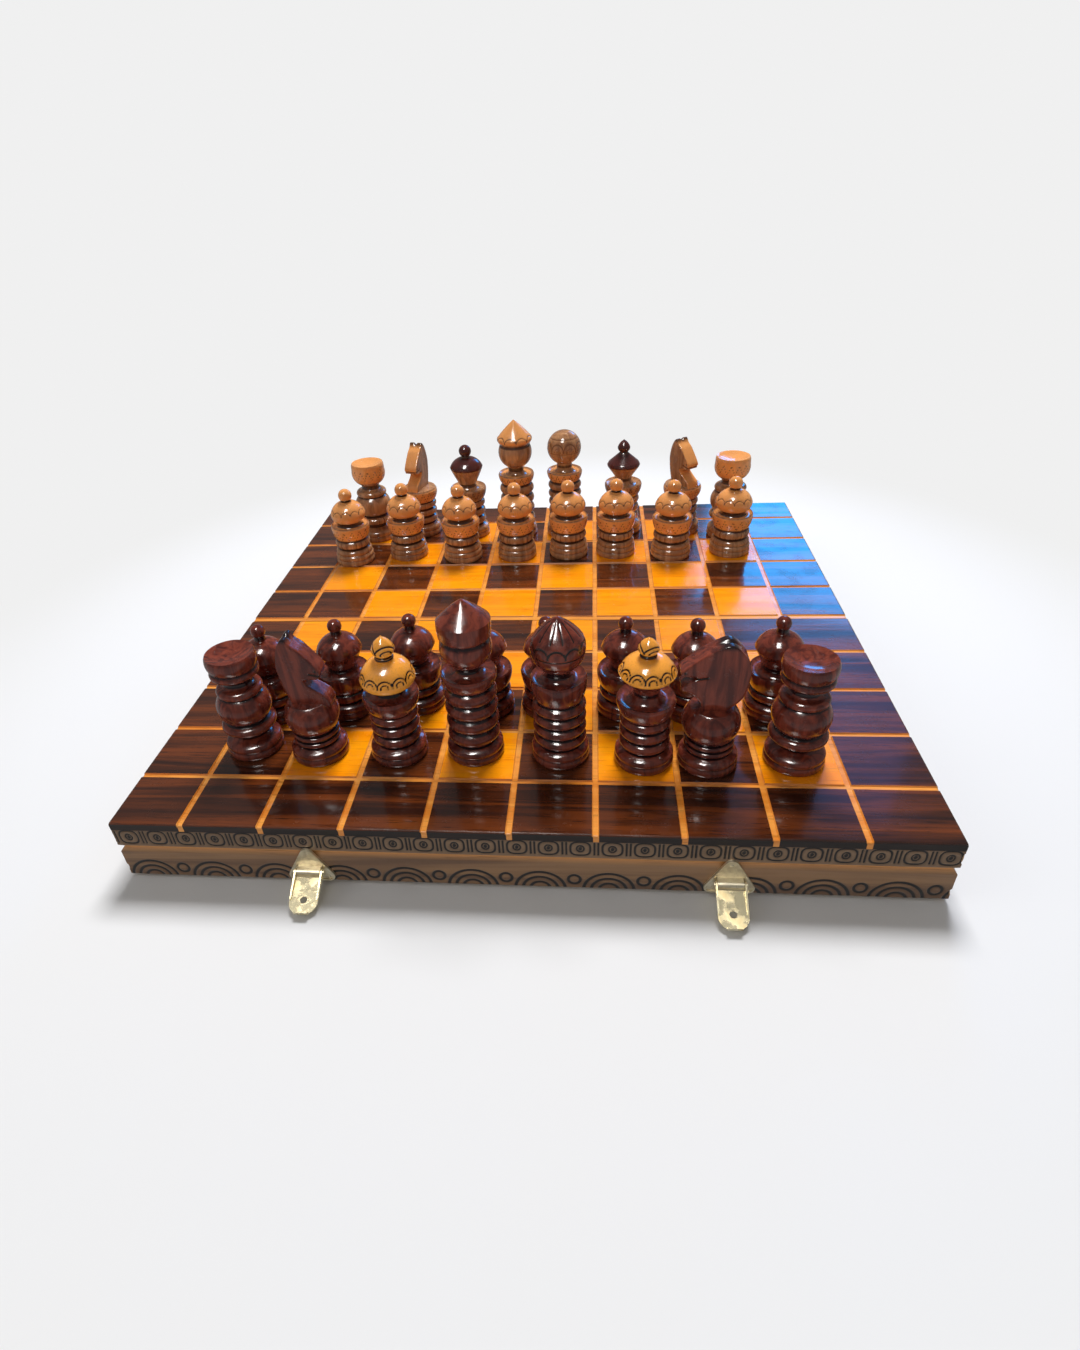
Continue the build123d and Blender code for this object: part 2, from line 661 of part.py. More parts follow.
# Name, column and row from the near left, and the small shifts of a set placed by hand
MEN = [
    Man("near_rook_left", 0, 0, -3.2, 5.8, "near_rook"),
    Man("near_knight_left", 1, 0, -5.5, 1.9, "near_knight"),
    Man("near_bishop_left", 2, 0, -2.7, 2.5, "near_bishop_low"),
    Man("near_king", 3, 0, -2.2, 4.2, "king"),
    Man("near_queen", 4, 0, 2.1, 2.6, "near_queen"),
    Man("near_bishop_right", 5, 0, 4.3, -0.7, "near_bishop"),
    Man("near_knight_right", 6, 0, -4.3, -1.8, "near_knight"),
    Man("near_rook_right", 7, 0, -1.6, 0.4, "near_rook"),
    Man("near_pawn_1", 0, 1, -0.8, -3.9, "near_pawn"),
    Man("near_pawn_2", 1, 1, 0.2, 1.2, "near_pawn"),
    Man("near_pawn_3", 2, 1, -0.1, 6.6, "near_pawn"),
    Man("near_pawn_4", 3, 1, 0.0, 3.0, "near_pawn"),
    Man("near_pawn_5", 4, 1, -6.0, 3.0, "near_pawn"),
    Man("near_pawn_6", 5, 1, -4.4, 2.6, "near_pawn"),
    Man("near_pawn_7", 6, 1, -8.0, 0.2, "near_pawn"),
    Man("near_pawn_8", 7, 1, -5.0, 2.1, "near_pawn"),
    Man("far_pawn_1", 0, 6, -7.2, -7.6, "far_pawn"),
    Man("far_pawn_2", 1, 6, -5.9, 1.6, "far_pawn"),
    Man("far_pawn_3", 2, 6, -1.9, -4.3, "far_pawn"),
    Man("far_pawn_4", 3, 6, 0.3, -2.5, "far_pawn"),
    Man("far_pawn_5", 4, 6, 0.0, -0.1, "far_pawn"),
    Man("far_pawn_6", 5, 6, -4.2, 0.5, "far_pawn"),
    Man("far_pawn_7", 6, 6, -2.9, -4.7, "far_pawn"),
    Man("far_pawn_8", 7, 6, 1.1, -0.4, "far_pawn"),
    Man("far_rook_left", 0, 7, 0.2, -2.7, "far_rook"),
    Man("far_knight_left", 1, 7, -2.5, 6.2, "far_knight"),
    Man("far_bishop_left", 2, 7, -1.0, 0.6, "far_bishop"),
    Man("far_king", 3, 7, -1.6, 0.1, "king"),
    Man("far_queen", 4, 7, -3.6, 0.2, "far_queen"),
    Man("far_bishop_right", 5, 7, 2.2, 2.8, "far_bishop"),
    Man("far_knight_right", 6, 7, 8.0, 1.0, "far_knight"),
    Man("far_rook_right", 7, 7, 2.9, -10.0, "far_rook"),
]


def man_place(man):
    """X and Y of a chessman's axis."""
    x = FIELD_LEFT + (man.column + 0.5) * SQUARE + man.shift_x
    if man.row < SQUARES / 2:
        y = row_line(NEAR, SQUARES // 2 - man.row) + SQUARE / 2 + man.shift_y
    else:
        y = row_line(FAR, man.row - SQUARES // 2) + SQUARE / 2 + man.shift_y
    return x, y


def edge_to(start, corner):
    """Draw the next edge of an outline and return the point where it ends."""
    if isinstance(corner, Arc):
        ThreePointArc(start, corner.through, corner.end)
        return corner.end
    if corner != start:
        Line(start, corner)
    return corner


def make_man(man):
    """Turn one chessman and, for a knight, add the sawn horse's head."""
    x, y = man_place(man)
    stand = Plane(origin=(x, y, HALF_HEIGHT), x_dir=(1, 0, 0), z_dir=(0, -1, 0))
    shape = SHAPES[man.shape]
    with BuildPart() as turned:
        with BuildSketch(stand):
            with BuildLine():
                pen = (0, 0)
                for corner in [*shape, (0, 0)]:
                    pen = edge_to(pen, corner)
            make_face()
        revolve(axis=Axis((x, y, 0), (0, 0, 1)))
        if man.name in HORSES:
            turn, top, outline = HORSES[man.name]
            angle = math.radians(turn)
            facing = (math.cos(angle), math.sin(angle), 0)
            across = (math.sin(angle), -math.cos(angle), 0)
            neck_foot = shape[-1][1] - 1.0
            with BuildSketch(Plane(origin=(x, y, HALF_HEIGHT), x_dir=facing, z_dir=across)):
                with BuildLine():
                    heights = [(u, neck_foot + share * (top - neck_foot)) for u, share in outline]
                    Polyline(*heights, close=True)
                make_face()
            extrude(amount=KNIGHT_THICKNESS / 2, both=True)
    save(turned, man.name)


make_panel(NEAR, "near_panel")
make_panel(FAR, "far_panel")
make_end_rail(NEAR, "near_front_rail", clasp_nail_places(), CLASP_SHEET)
make_end_rail(FAR, "far_back_rail", catch_nail_places(), CATCH_SHEET)
make_side_rail(NEAR, LEFT, "near_left_rail")
make_side_rail(NEAR, RIGHT, "near_right_rail")
make_side_rail(FAR, LEFT, "far_left_rail")
make_side_rail(FAR, RIGHT, "far_right_rail")
make_fold_rail(NEAR, "near_fold_rail")
make_fold_rail(FAR, "far_fold_rail")
for hand, hinge_x in zip(("left", "right"), HINGE_PLACES):
    make_hinge_leaf(NEAR, hinge_x, f"hinge_{hand}_near_leaf")
    make_hinge_leaf(FAR, hinge_x, f"hinge_{hand}_far_leaf")
make_hinge_pins()
make_hinge_screws(NEAR, "hinge_screws_near")
make_hinge_screws(FAR, "hinge_screws_far")
for hand, clasp_x in CLASP_PLACES.items():
    make_clasp_plate(clasp_x, f"{hand}_clasp_plate")
    make_clasp_hasp(clasp_x, f"{hand}_clasp_hasp")
    make_catch(clasp_x, f"{hand}_catch")
make_clasp_pins()
make_nails(NEAR, clasp_nail_places(), CLASP_SHEET, "clasp_nails")
make_nails(FAR, catch_nail_places(), CATCH_SHEET, "catch_nails")
for chessman in MEN:
    make_man(chessman)
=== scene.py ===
"""Folding chess box lying open, playing side up, with its set of turned chessmen standing on it.

Sizes in the classes are millimetres, in the frame of the CAD model: X along the fold, Y away from
the player, Z up, origin in the middle of the fold on the table. Meshes are made in metres.
"""

import json
import logging
import math
from dataclasses import dataclass
from enum import Enum
from typing import NamedTuple, Sequence, Union

import bpy
import numpy as np
from mathutils import Matrix, Vector

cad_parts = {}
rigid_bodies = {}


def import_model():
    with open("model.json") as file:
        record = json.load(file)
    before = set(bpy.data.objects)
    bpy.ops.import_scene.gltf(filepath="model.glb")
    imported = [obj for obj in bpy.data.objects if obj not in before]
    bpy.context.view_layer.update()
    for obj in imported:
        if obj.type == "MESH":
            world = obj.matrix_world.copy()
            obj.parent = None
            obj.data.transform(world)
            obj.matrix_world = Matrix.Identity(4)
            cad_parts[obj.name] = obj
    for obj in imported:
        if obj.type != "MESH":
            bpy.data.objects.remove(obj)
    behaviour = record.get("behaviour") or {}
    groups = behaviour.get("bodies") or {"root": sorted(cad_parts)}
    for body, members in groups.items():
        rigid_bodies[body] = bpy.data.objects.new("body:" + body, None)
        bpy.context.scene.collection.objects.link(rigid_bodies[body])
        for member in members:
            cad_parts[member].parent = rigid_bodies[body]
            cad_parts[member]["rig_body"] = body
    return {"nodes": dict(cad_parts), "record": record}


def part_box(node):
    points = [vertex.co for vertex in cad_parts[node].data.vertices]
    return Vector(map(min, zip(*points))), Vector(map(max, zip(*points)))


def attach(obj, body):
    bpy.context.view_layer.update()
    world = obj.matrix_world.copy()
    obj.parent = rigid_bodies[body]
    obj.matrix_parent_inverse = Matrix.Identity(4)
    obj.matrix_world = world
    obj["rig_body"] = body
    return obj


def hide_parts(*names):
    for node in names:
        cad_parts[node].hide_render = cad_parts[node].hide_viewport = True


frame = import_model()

LOG = logging.getLogger("chess_box")
MM = 0.001
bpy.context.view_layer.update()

SQUARE = 40.0
GROOVE_WIDTH = 3.2
GROOVE_DEPTH = 0.8
PANEL_LOW = 31.5
PANEL_TOP = 36.0
FIELD_LEFT = -162.25
FAR_LEDGE = 2.9
COLUMNS = 8
ROWS = 4
Span = tuple[float, float]


class Half(Enum):
    """The two halves of the box, with the side of the fold that each lies on."""

    NEAR = -1
    FAR = 1


# ---------------------------------------------------------------------------------------------
# Meshes
# ---------------------------------------------------------------------------------------------


def low_corner(node: str) -> np.ndarray:
    """Lowest corner of a CAD node in millimetres."""
    return np.array(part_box(node)[0]) / MM


def high_corner(node: str) -> np.ndarray:
    """Highest corner of a CAD node in millimetres."""
    return np.array(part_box(node)[1]) / MM


def grid_faces(rows: int, columns: int, wrap: bool = False) -> np.ndarray:
    """Quads between neighbouring points of a grid that is stored row by row.

    Args:
        rows: Number of rows of points.
        columns: Number of points in a row.
        wrap: Join the last column to the first.

    Returns:
        An array of four point numbers per face.
    """
    index = np.arange(rows * columns).reshape(rows, columns)
    right = np.roll(index, -1, axis=1) if wrap else index[:, 1:]
    left = index if wrap else index[:, :-1]
    corners = (left[:-1], right[:-1], right[1:], left[1:])
    return np.stack([c.ravel() for c in corners], axis=1)


@dataclass
class Shape:
    """Points in millimetres, faces, and what is known of each point or face."""

    points: np.ndarray
    faces: list
    marks: dict[str, np.ndarray]
    finishes: np.ndarray | None = None

    def join(self, other: "Shape") -> "Shape":
        """Add another shape after this one.

        Args:
            other: The other shape.

        Returns:
            Both as one; marks that only one of them has are zero on the other.
        """
        start = len(self.points)
        marks = {}
        for name in {**self.marks, **other.marks}:
            mine = self.marks.get(name, np.zeros(start))
            theirs = other.marks.get(name, np.zeros(len(other.points)))
            marks[name] = np.concatenate([mine, theirs])
        faces = [*self.faces, *([start + i for i in face] for face in other.faces)]
        finishes = None
        if self.finishes is not None or other.finishes is not None:
            first = np.zeros(len(self.faces), int) if self.finishes is None else self.finishes
            second = np.zeros(len(other.faces), int) if other.finishes is None else other.finishes
            finishes = np.concatenate([first, second])
        return Shape(np.concatenate([self.points, other.points]), faces, marks, finishes)


def make_piece(
    name: str,
    shape: Shape,
    materials: Sequence[bpy.types.Material],
    stands_for: str,
    smooth_angle: float = 35.0,
) -> bpy.types.Object:
    """Turn a shape into an object that replaces a CAD node and moves with its body.

    Args:
        name: Name of the new piece.
        shape: Its points in millimetres and its faces.
        materials: Materials, in the order that the shape's finishes number them.
        stands_for: CAD node that it replaces.
        smooth_angle: Edges that turn by more degrees than this stay sharp.

    Returns:
        The new object.
    """
    mesh = bpy.data.meshes.new(name)
    mesh.from_pydata((shape.points * MM).tolist(), [], [list(map(int, f)) for f in shape.faces])
    for mark, values in shape.marks.items():
        layer = mesh.attributes.new(mark, "FLOAT", "POINT")
        layer.data.foreach_set("value", values.astype(np.float32))
    for material in materials:
        mesh.materials.append(material)
    if shape.finishes is not None:
        mesh.polygons.foreach_set("material_index", shape.finishes.astype(np.int32))
    mesh.update()
    mesh.shade_smooth()
    mesh.set_sharp_from_angle(angle=math.radians(smooth_angle))
    piece = bpy.data.objects.new(name, mesh)
    bpy.context.scene.collection.objects.link(piece)
    node = frame["nodes"][stands_for]
    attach(piece, node["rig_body"])
    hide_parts(stands_for)
    LOG.info("%s: %d points", name, len(mesh.vertices))
    return piece


def dress(node: str, material: bpy.types.Material) -> None:
    """Give a CAD node that keeps its own shape a better material.

    Args:
        node: The node.
        material: The material.
    """
    mesh = frame["nodes"][node].data
    mesh.materials.clear()
    mesh.materials.append(material)


# ---------------------------------------------------------------------------------------------
# Materials
# ---------------------------------------------------------------------------------------------

Colour = tuple[float, float, float]
Source = Union[bpy.types.NodeSocket, float, Colour, tuple]


class Wiring:
    """A node tree with short calls for adding and joining nodes."""

    def __init__(self, tree: bpy.types.NodeTree) -> None:
        """Keep the tree that the nodes go into."""
        self.tree = tree

    def put(self, kind: str, inputs: dict[str | int, Source], **settings: object) -> bpy.types.Node:
        """Add a node.

        Args:
            kind: Blender's name for the type of node.
            inputs: Values, or outputs of other nodes, for its inputs.
            **settings: Properties to set before its inputs are fed.

        Returns:
            The node.
        """
        node = self.tree.nodes.new(kind)
        for key, value in settings.items():
            setattr(node, key, value)
        for key, source in inputs.items():
            self.feed(node.inputs[key], source)
        return node

    def feed(self, socket: bpy.types.NodeSocket, source: Source) -> None:
        """Link a socket to an output, or write a plain value on it.

        Args:
            socket: The input to feed.
            source: A number, a colour, a vector, or another node's output.
        """
        if isinstance(source, bpy.types.NodeSocket):
            self.tree.links.new(source, socket)
        elif isinstance(source, tuple) and socket.type == "RGBA":
            socket.default_value = (*source[:3], 1.0)
        else:
            socket.default_value = source

    def maths(self, operation: str, *sources: Source) -> bpy.types.NodeSocket:
        """One arithmetic step, clamped to nothing."""
        node = self.put("ShaderNodeMath", dict(enumerate(sources)), operation=operation)
        return node.outputs[0]

    def mix(self, factor: Source, first: Source, second: Source) -> Source:
        """Mix two colours.

        Args:
            factor: Share of the second colour, from 0 to 1.
            first: First colour.
            second: Second colour.

        Returns:
            The mixed colour.
        """
        node = self.put("ShaderNodeMix", {}, data_type="RGBA")
        for socket, source in ((0, factor), (6, first), (7, second)):
            self.feed(node.inputs[socket], source)
        return node.outputs[2]

    def ramp(
        self, value: Source, low: float, high: float, start: float = 0.0, end: float = 1.0
    ) -> Source:
        """Smooth step of a value.

        Args:
            value: The value.
            low: Where the step begins.
            high: Where it ends.
            start: Result below the step.
            end: Result above it.

        Returns:
            The result.
        """
        inputs = {"Value": value, "From Min": low, "From Max": high, "To Min": start, "To Max": end}
        node = self.put("ShaderNodeMapRange", inputs, interpolation_type="SMOOTHSTEP")
        return node.outputs[0]

    def noise(
        self, place: Source, scale: Source, detail: float, roughness: float = 0.5, swirl: Source = 0.0
    ) -> Source:
        """Noise over a place.

        Args:
            place: Where on the surface.
            scale: How fine the noise is.
            detail: Layers of finer noise on it.
            roughness: Strength of those layers.
            swirl: How far the noise is bent by itself.

        Returns:
            The noise, about 0 to 1.
        """
        inputs = {"Vector": place, "Scale": scale, "Detail": detail, "Roughness": roughness,
                  "Distortion": swirl}
        return self.put("ShaderNodeTexNoise", inputs).outputs[0]


def new_group(
    name: str, inputs: dict[str, Source], outputs: Sequence[str]
) -> tuple[bpy.types.NodeTree, Wiring]:
    """Start a shader node group.

    Args:
        name: Name of the group.
        inputs: Named inputs with their defaults; a Place is a vector.
        outputs: Names of the outputs, each a number.

    Returns:
        The group, and its wiring.
    """
    tree = bpy.data.node_groups.new(name, "ShaderNodeTree")
    for label, value in inputs.items():
        kind = "NodeSocketFloat"
        if label == "Place":
            kind = "NodeSocketVector"
        elif isinstance(value, tuple):
            kind = "NodeSocketColor"
        socket = tree.interface.new_socket(label, in_out="INPUT", socket_type=kind)
        if kind == "NodeSocketFloat":
            socket.default_value = value
        elif kind == "NodeSocketColor":
            socket.default_value = (*value, 1.0)
    for label in outputs:
        tree.interface.new_socket(label, in_out="OUTPUT", socket_type="NodeSocketFloat")
    return tree, Wiring(tree)


def grain_group() -> bpy.types.NodeTree:
    """Wood grain along the first axis of its place.

    Returns:
        A group that puts out Streaks, the broad bands of the wood, Pores, its fine dark dashes,
        and Height for bumps, all from 0 to 1.
    """
    inputs = {"Place": (0.0, 0.0, 0.0), "Length": 9.0, "Width": 160.0, "Swirl": 1.2}
    tree, wires = new_group("Wood grain", inputs, ("Streaks", "Pores", "Height"))
    given = wires.put("NodeGroupInput", {}).outputs
    stretch = wires.put("ShaderNodeCombineXYZ", {0: given["Length"], 1: given["Width"], 2: given["Width"]})
    sides = {0: given["Place"], 1: stretch.outputs[0]}
    scaled = wires.put("ShaderNodeVectorMath", sides, operation="MULTIPLY").outputs[0]
    broad = wires.noise(scaled, 0.55, 3.0, 0.55, given["Swirl"])
    fine = wires.noise(scaled, 5.2, 4.0, 0.7, 0.3)
    streaks = wires.ramp(broad, 0.3, 0.7)
    pores = wires.ramp(fine, 0.52, 0.68)
    height = wires.maths("MULTIPLY_ADD", fine, 0.6, wires.maths("MULTIPLY", streaks, 0.4))
    wires.put("NodeGroupOutput", {"Streaks": streaks, "Pores": pores, "Height": height})
    return tree


def handling_group() -> bpy.types.NodeTree:
    """Unevenness from years of handling.

    Returns:
        A group that puts out Smears, soft patches where the polish has dulled, and Specks, small
        marks and dust, from 0 to 1.
    """
    inputs = {"Place": (0.0, 0.0, 0.0), "Patch": 60.0, "Speck": 900.0}
    tree, wires = new_group("Handling", inputs, ("Smears", "Specks"))
    given = wires.put("NodeGroupInput", {}).outputs
    smears = wires.ramp(wires.noise(given["Place"], given["Patch"], 5.0, 0.6), 0.38, 0.72)
    specks = wires.ramp(wires.noise(given["Place"], given["Speck"], 2.0), 0.62, 0.74)
    wires.put("NodeGroupOutput", {"Smears": smears, "Specks": specks})
    return tree


def mark_group() -> bpy.types.NodeTree:
    """Edge of a carved or burnt line.

    Returns:
        A group that reads how close a point is to the middle of a line, 1 on it and 0 far off, and
        puts out Line, its crisp mask, and Halo, the scorched edge around it.
    """
    inputs = {"Nearness": 0.0, "Place": (0.0, 0.0, 0.0), "Ragged": 0.12}
    tree, wires = new_group("Carved line", inputs, ("Line", "Halo"))
    given = wires.put("NodeGroupInput", {}).outputs
    noise = wires.noise(given["Place"], 1400.0, 2.0)
    shake = wires.maths("MULTIPLY", wires.maths("SUBTRACT", noise, 0.5), given["Ragged"])
    near = wires.maths("ADD", given["Nearness"], shake)
    line, halo = wires.ramp(near, 0.42, 0.6), wires.ramp(near, 0.05, 0.55)
    wires.put("NodeGroupOutput", {"Line": line, "Halo": halo})
    return tree


class Groups:
    """The node groups that the finishes share, built once."""

    grain: bpy.types.NodeTree
    handling: bpy.types.NodeTree
    mark: bpy.types.NodeTree

    @classmethod
    def build(cls) -> None:
        """Make every group."""
        cls.grain = grain_group()
        cls.handling = handling_group()
        cls.mark = mark_group()


class Grain(Enum):
    """Direction of the grain, as the turn of a place that brings it along the first axis."""

    ALONG_X = (0.0, 0.0, 0.0)
    ALONG_Y = (0.0, 0.0, math.pi / 2)
    ALONG_Z = (0.0, math.pi / 2, 0.0)


class Finish:
    """A material under construction: its Principled shader and the places its textures use."""

    def __init__(self, name: str) -> None:
        """Start an empty material.

        Args:
            name: Name of the material.
        """
        self.material = bpy.data.materials.new(name)
        self.material.use_nodes = True
        self.wires = Wiring(self.material.node_tree)
        self.shader = self.material.node_tree.nodes["Principled BSDF"]
        self.place = self.wires.put("ShaderNodeTexCoord", {}).outputs["Object"]

    def turned(self, grain: Grain) -> bpy.types.NodeSocket:
        """The place, turned so that the grain runs along its first axis."""
        node = self.wires.put("ShaderNodeMapping", {"Vector": self.place, "Rotation": grain.value})
        return node.outputs[0]

    def group(self, tree: bpy.types.NodeTree, inputs: dict[str, Source]) -> bpy.types.NodeOutputs:
        """Place a shared group with its own values.

        Args:
            tree: The group.
            inputs: Values or sources for its named inputs.

        Returns:
            Its outputs, by name.
        """
        node = self.wires.put("ShaderNodeGroup", {}, node_tree=tree)
        for key, source in inputs.items():
            self.wires.feed(node.inputs[key], source)
        return node.outputs

    def mark(self, name: str) -> bpy.types.NodeSocket:
        """A number that the mesh carries at each point."""
        return self.wires.put("ShaderNodeAttribute", {}, attribute_name=name).outputs["Fac"]

    def surface(
        self, colour: Source, roughness: Source, height: Source | None, bump: float, **sockets: float
    ) -> None:
        """Feed the shader.

        Args:
            colour: Base colour.
            roughness: Roughness.
            height: Relief, from 0 to 1, or None for a flat surface.
            bump: Depth of that relief in millimetres.
            **sockets: Plain values for other sockets, named with underscores for spaces.
        """
        self.wires.feed(self.shader.inputs["Base Color"], colour)
        self.wires.feed(self.shader.inputs["Roughness"], roughness)
        for key, value in sockets.items():
            self.shader.inputs[key.replace("_", " ")].default_value = value
        if height is not None:
            relief = {"Height": height, "Strength": 1.0, "Distance": bump * MM}
            normal = self.wires.put("ShaderNodeBump", relief).outputs[0]
            self.wires.feed(self.shader.inputs["Normal"], normal)


@dataclass(frozen=True)
class VarnishedWood:
    """Stained wood under gloss varnish, such as the playing squares."""

    name: str
    dark: Colour
    light: Colour
    pore: Colour
    gloss: float = 0.16
    coat: float = 0.6

    def build(self) -> bpy.types.Material:
        """Make the material.

        Returns:
            The material.
        """
        finish = Finish(self.name)
        wires = finish.wires
        grain = finish.group(Groups.grain, {"Place": finish.place})
        worn = finish.group(Groups.handling, {"Place": finish.place})
        colour = wires.mix(grain["Streaks"], self.dark, self.light)
        colour = wires.mix(wires.maths("MULTIPLY", grain["Pores"], 0.7), colour, self.pore)
        roughness = wires.ramp(worn["Smears"], 0.0, 1.0, self.gloss, self.gloss + 0.14)
        finish.surface(
            colour, roughness, grain["Height"], 0.05, Coat_Weight=self.coat, Coat_Roughness=0.08
        )
        return finish.material


@dataclass(frozen=True)
class CarvedWood:
    """Stained wood with carved, darkened lines; the mesh says where they are."""

    name: str
    dark: Colour
    light: Colour
    upper: Colour
    line: Colour
    halo: Colour
    groove: Colour
    gloss: float = 0.42
    grain: Grain = Grain.ALONG_X

    def build(self) -> bpy.types.Material:
        """Make the material.

        Returns:
            The material.
        """
        finish = Finish(self.name)
        wires = finish.wires
        grain = finish.group(Groups.grain, {"Place": finish.turned(self.grain), "Width": 240.0})
        worn = finish.group(Groups.handling, {"Place": finish.place, "Patch": 90.0})
        cut = finish.group(Groups.mark, {"Nearness": finish.mark("carved"), "Place": finish.place})
        colour = wires.mix(grain["Streaks"], self.dark, self.light)
        upper = wires.mix(grain["Streaks"], tuple(0.75 * c for c in self.upper), self.upper)
        colour = wires.mix(finish.mark("upper_band"), colour, upper)
        colour = wires.mix(wires.maths("MULTIPLY", cut["Halo"], 0.45), colour, self.halo)
        colour = wires.mix(cut["Line"], colour, self.line)
        raw = wires.mix(grain["Pores"], self.groove, tuple(0.6 * c for c in self.groove))
        colour = wires.mix(finish.mark("groove"), colour, raw)
        roughness = wires.ramp(worn["Smears"], 0.0, 1.0, self.gloss - 0.08, self.gloss + 0.16)
        finish.surface(colour, roughness, grain["Height"], 0.09, Coat_Weight=0.12, Coat_Roughness=0.3)
        return finish.material


@dataclass(frozen=True)
class TurnedWood:
    """Turned and varnished wood of the chessmen, with burnt marks, and painted shade in the creases, where
    the mesh says.
    """

    name: str
    dark: Colour
    light: Colour
    burnt: Colour
    accent: Colour
    # shade: colour of the painted shade in the creases
    shade: Colour
    gloss: float = 0.14
    coat: float = 0.6

    def build(self) -> bpy.types.Material:
        """Make the material.

        Returns:
            The material.
        """
        finish = Finish(self.name)
        wires = finish.wires
        upright = {"Place": finish.turned(Grain.ALONG_Z), "Length": 30.0, "Width": 260.0, "Swirl": 2.0}
        grain = finish.group(Groups.grain, upright)
        worn = finish.group(Groups.handling, {"Place": finish.place, "Patch": 120.0})
        cut = finish.group(Groups.mark, {"Nearness": finish.mark("carved"), "Place": finish.place})
        colour = wires.mix(grain["Streaks"], self.dark, self.light)
        colour = wires.mix(finish.mark("accent"), colour, self.accent)
        # painted shade: the creases between rings, and the knights' ears, are darkened towards the shade
        # colour
        colour = wires.mix(wires.ramp(finish.mark("crease"), 0.04, 0.75, 0.0, 0.92), colour, self.shade)
        colour = wires.mix(wires.maths("MULTIPLY", grain["Pores"], 0.25), colour, self.burnt)
        colour = wires.mix(wires.maths("MULTIPLY", cut["Halo"], 0.3), colour, self.burnt)
        colour = wires.mix(cut["Line"], colour, self.burnt)
        roughness = wires.ramp(worn["Smears"], 0.0, 1.0, self.gloss, self.gloss + 0.18)
        height = wires.maths("SUBTRACT", grain["Height"], wires.maths("MULTIPLY", worn["Specks"], 0.4))
        sockets = {"Coat_Weight": self.coat, "Coat_Roughness": 0.05, "Specular_IOR_Level": 0.35}
        finish.surface(colour, roughness, height, 0.06, **sockets)
        return finish.material


@dataclass(frozen=True)
class Metal:
    """Sheet or wire metal, tarnished in patches."""

    name: str
    bright: Colour
    tarnish: Colour
    roughness: float = 0.28

    def build(self) -> bpy.types.Material:
        """Make the material.

        Returns:
            The material.
        """
        finish = Finish(self.name)
        wires = finish.wires
        worn = finish.group(Groups.handling, {"Place": finish.place, "Patch": 130.0, "Speck": 1500.0})
        colour = wires.mix(wires.maths("MULTIPLY", worn["Smears"], 0.8), self.bright, self.tarnish)
        colour = wires.mix(wires.maths("MULTIPLY", worn["Specks"], 0.5), colour, self.tarnish)
        roughness = wires.ramp(worn["Smears"], 0.0, 1.0, self.roughness, self.roughness + 0.25)
        finish.surface(colour, roughness, worn["Smears"], 0.05, Metallic=0.8)
        return finish.material


# Dark squares: the light streaks are grain, made redder and brighter than the wood in part as a painted
# warm reflection
DARK_SQUARE = VarnishedWood(
    "Dark square", (0.024, 0.007, 0.004), (0.160, 0.036, 0.007), (0.008, 0.003, 0.002)
)
LIGHT_SQUARE = VarnishedWood(
    "Orange square", (0.96, 0.27, 0.002), (1.0, 0.36, 0.004), (0.62, 0.15, 0.002), coat=0.3
)
GROOVE_WOOD = VarnishedWood(
    "Orange groove", (0.70, 0.22, 0.02), (0.88, 0.38, 0.07), (0.40, 0.12, 0.01), gloss=0.3
)
# The panel's sides are near black, partly as painted shade for the shadow line between the panel and the
# rail below it
PANEL_EDGE = VarnishedWood(
    "Panel edge",
    dark=(0.012, 0.007, 0.006),
    light=(0.034, 0.019, 0.014),
    pore=(0.01, 0.005, 0.004),
    gloss=0.3,
    coat=0.0,
)
TRAY_WOOD = VarnishedWood(
    "Plain tray wood", (0.40, 0.23, 0.10), (0.56, 0.36, 0.18), (0.25, 0.13, 0.05), gloss=0.5, coat=0.0
)
RAIL_COLOURS = {
    "dark": (0.175, 0.092, 0.048),
    "light": (0.335, 0.182, 0.084),
    "upper": (0.250, 0.152, 0.082),
    "line": (0.012, 0.008, 0.007),
    "halo": (0.060, 0.040, 0.030),
    "groove": (0.66, 0.30, 0.09),
}
RAIL_WOOD = CarvedWood("Carved rail wood", **RAIL_COLOURS)
SIDE_RAIL_WOOD = CarvedWood("Carved side rail wood", **RAIL_COLOURS, grain=Grain.ALONG_Y)
DARK_MEN = TurnedWood(
    "Dark chessmen wood",
    dark=(0.080, 0.014, 0.010),
    light=(0.240, 0.046, 0.024),
    burnt=(0.016, 0.006, 0.004),
    accent=(1.0, 0.40, 0.05),
    shade=(0.007, 0.004, 0.007),
)
LIGHT_MEN = TurnedWood(
    "Tan chessmen wood",
    dark=(0.32, 0.145, 0.065),
    light=(0.60, 0.30, 0.135),
    burnt=(0.24, 0.10, 0.04),
    accent=(0.88, 0.37, 0.11),
    shade=(0.060, 0.026, 0.014),
)
LIGHT_BISHOPS = TurnedWood(
    "Tan wood with maroon caps",
    dark=(0.34, 0.155, 0.068),
    light=(0.64, 0.32, 0.14),
    burnt=(0.09, 0.04, 0.02),
    accent=(0.085, 0.018, 0.015),
    shade=(0.085, 0.038, 0.020),
)
PLATE_BRASS = Metal("Pale aged brass", (0.82, 0.74, 0.55), (0.42, 0.34, 0.22))
# The hasps' brass is brighter than the plates', partly as a painted highlight
HASP_BRASS = Metal("Golden aged brass", (0.95, 0.85, 0.56), (0.60, 0.46, 0.22), roughness=0.22)
PLAIN_STEEL = Metal("Plain steel", (0.55, 0.55, 0.53), (0.25, 0.23, 0.21))


# ---------------------------------------------------------------------------------------------
# The board: playing panels
# ---------------------------------------------------------------------------------------------


class PanelPart(Enum):
    """What a face of a panel belongs to, as the number of its material."""

    DARK = 0
    LIGHT = 1
    GROOVE = 2
    EDGE = 3
    UNDERSIDE = 4


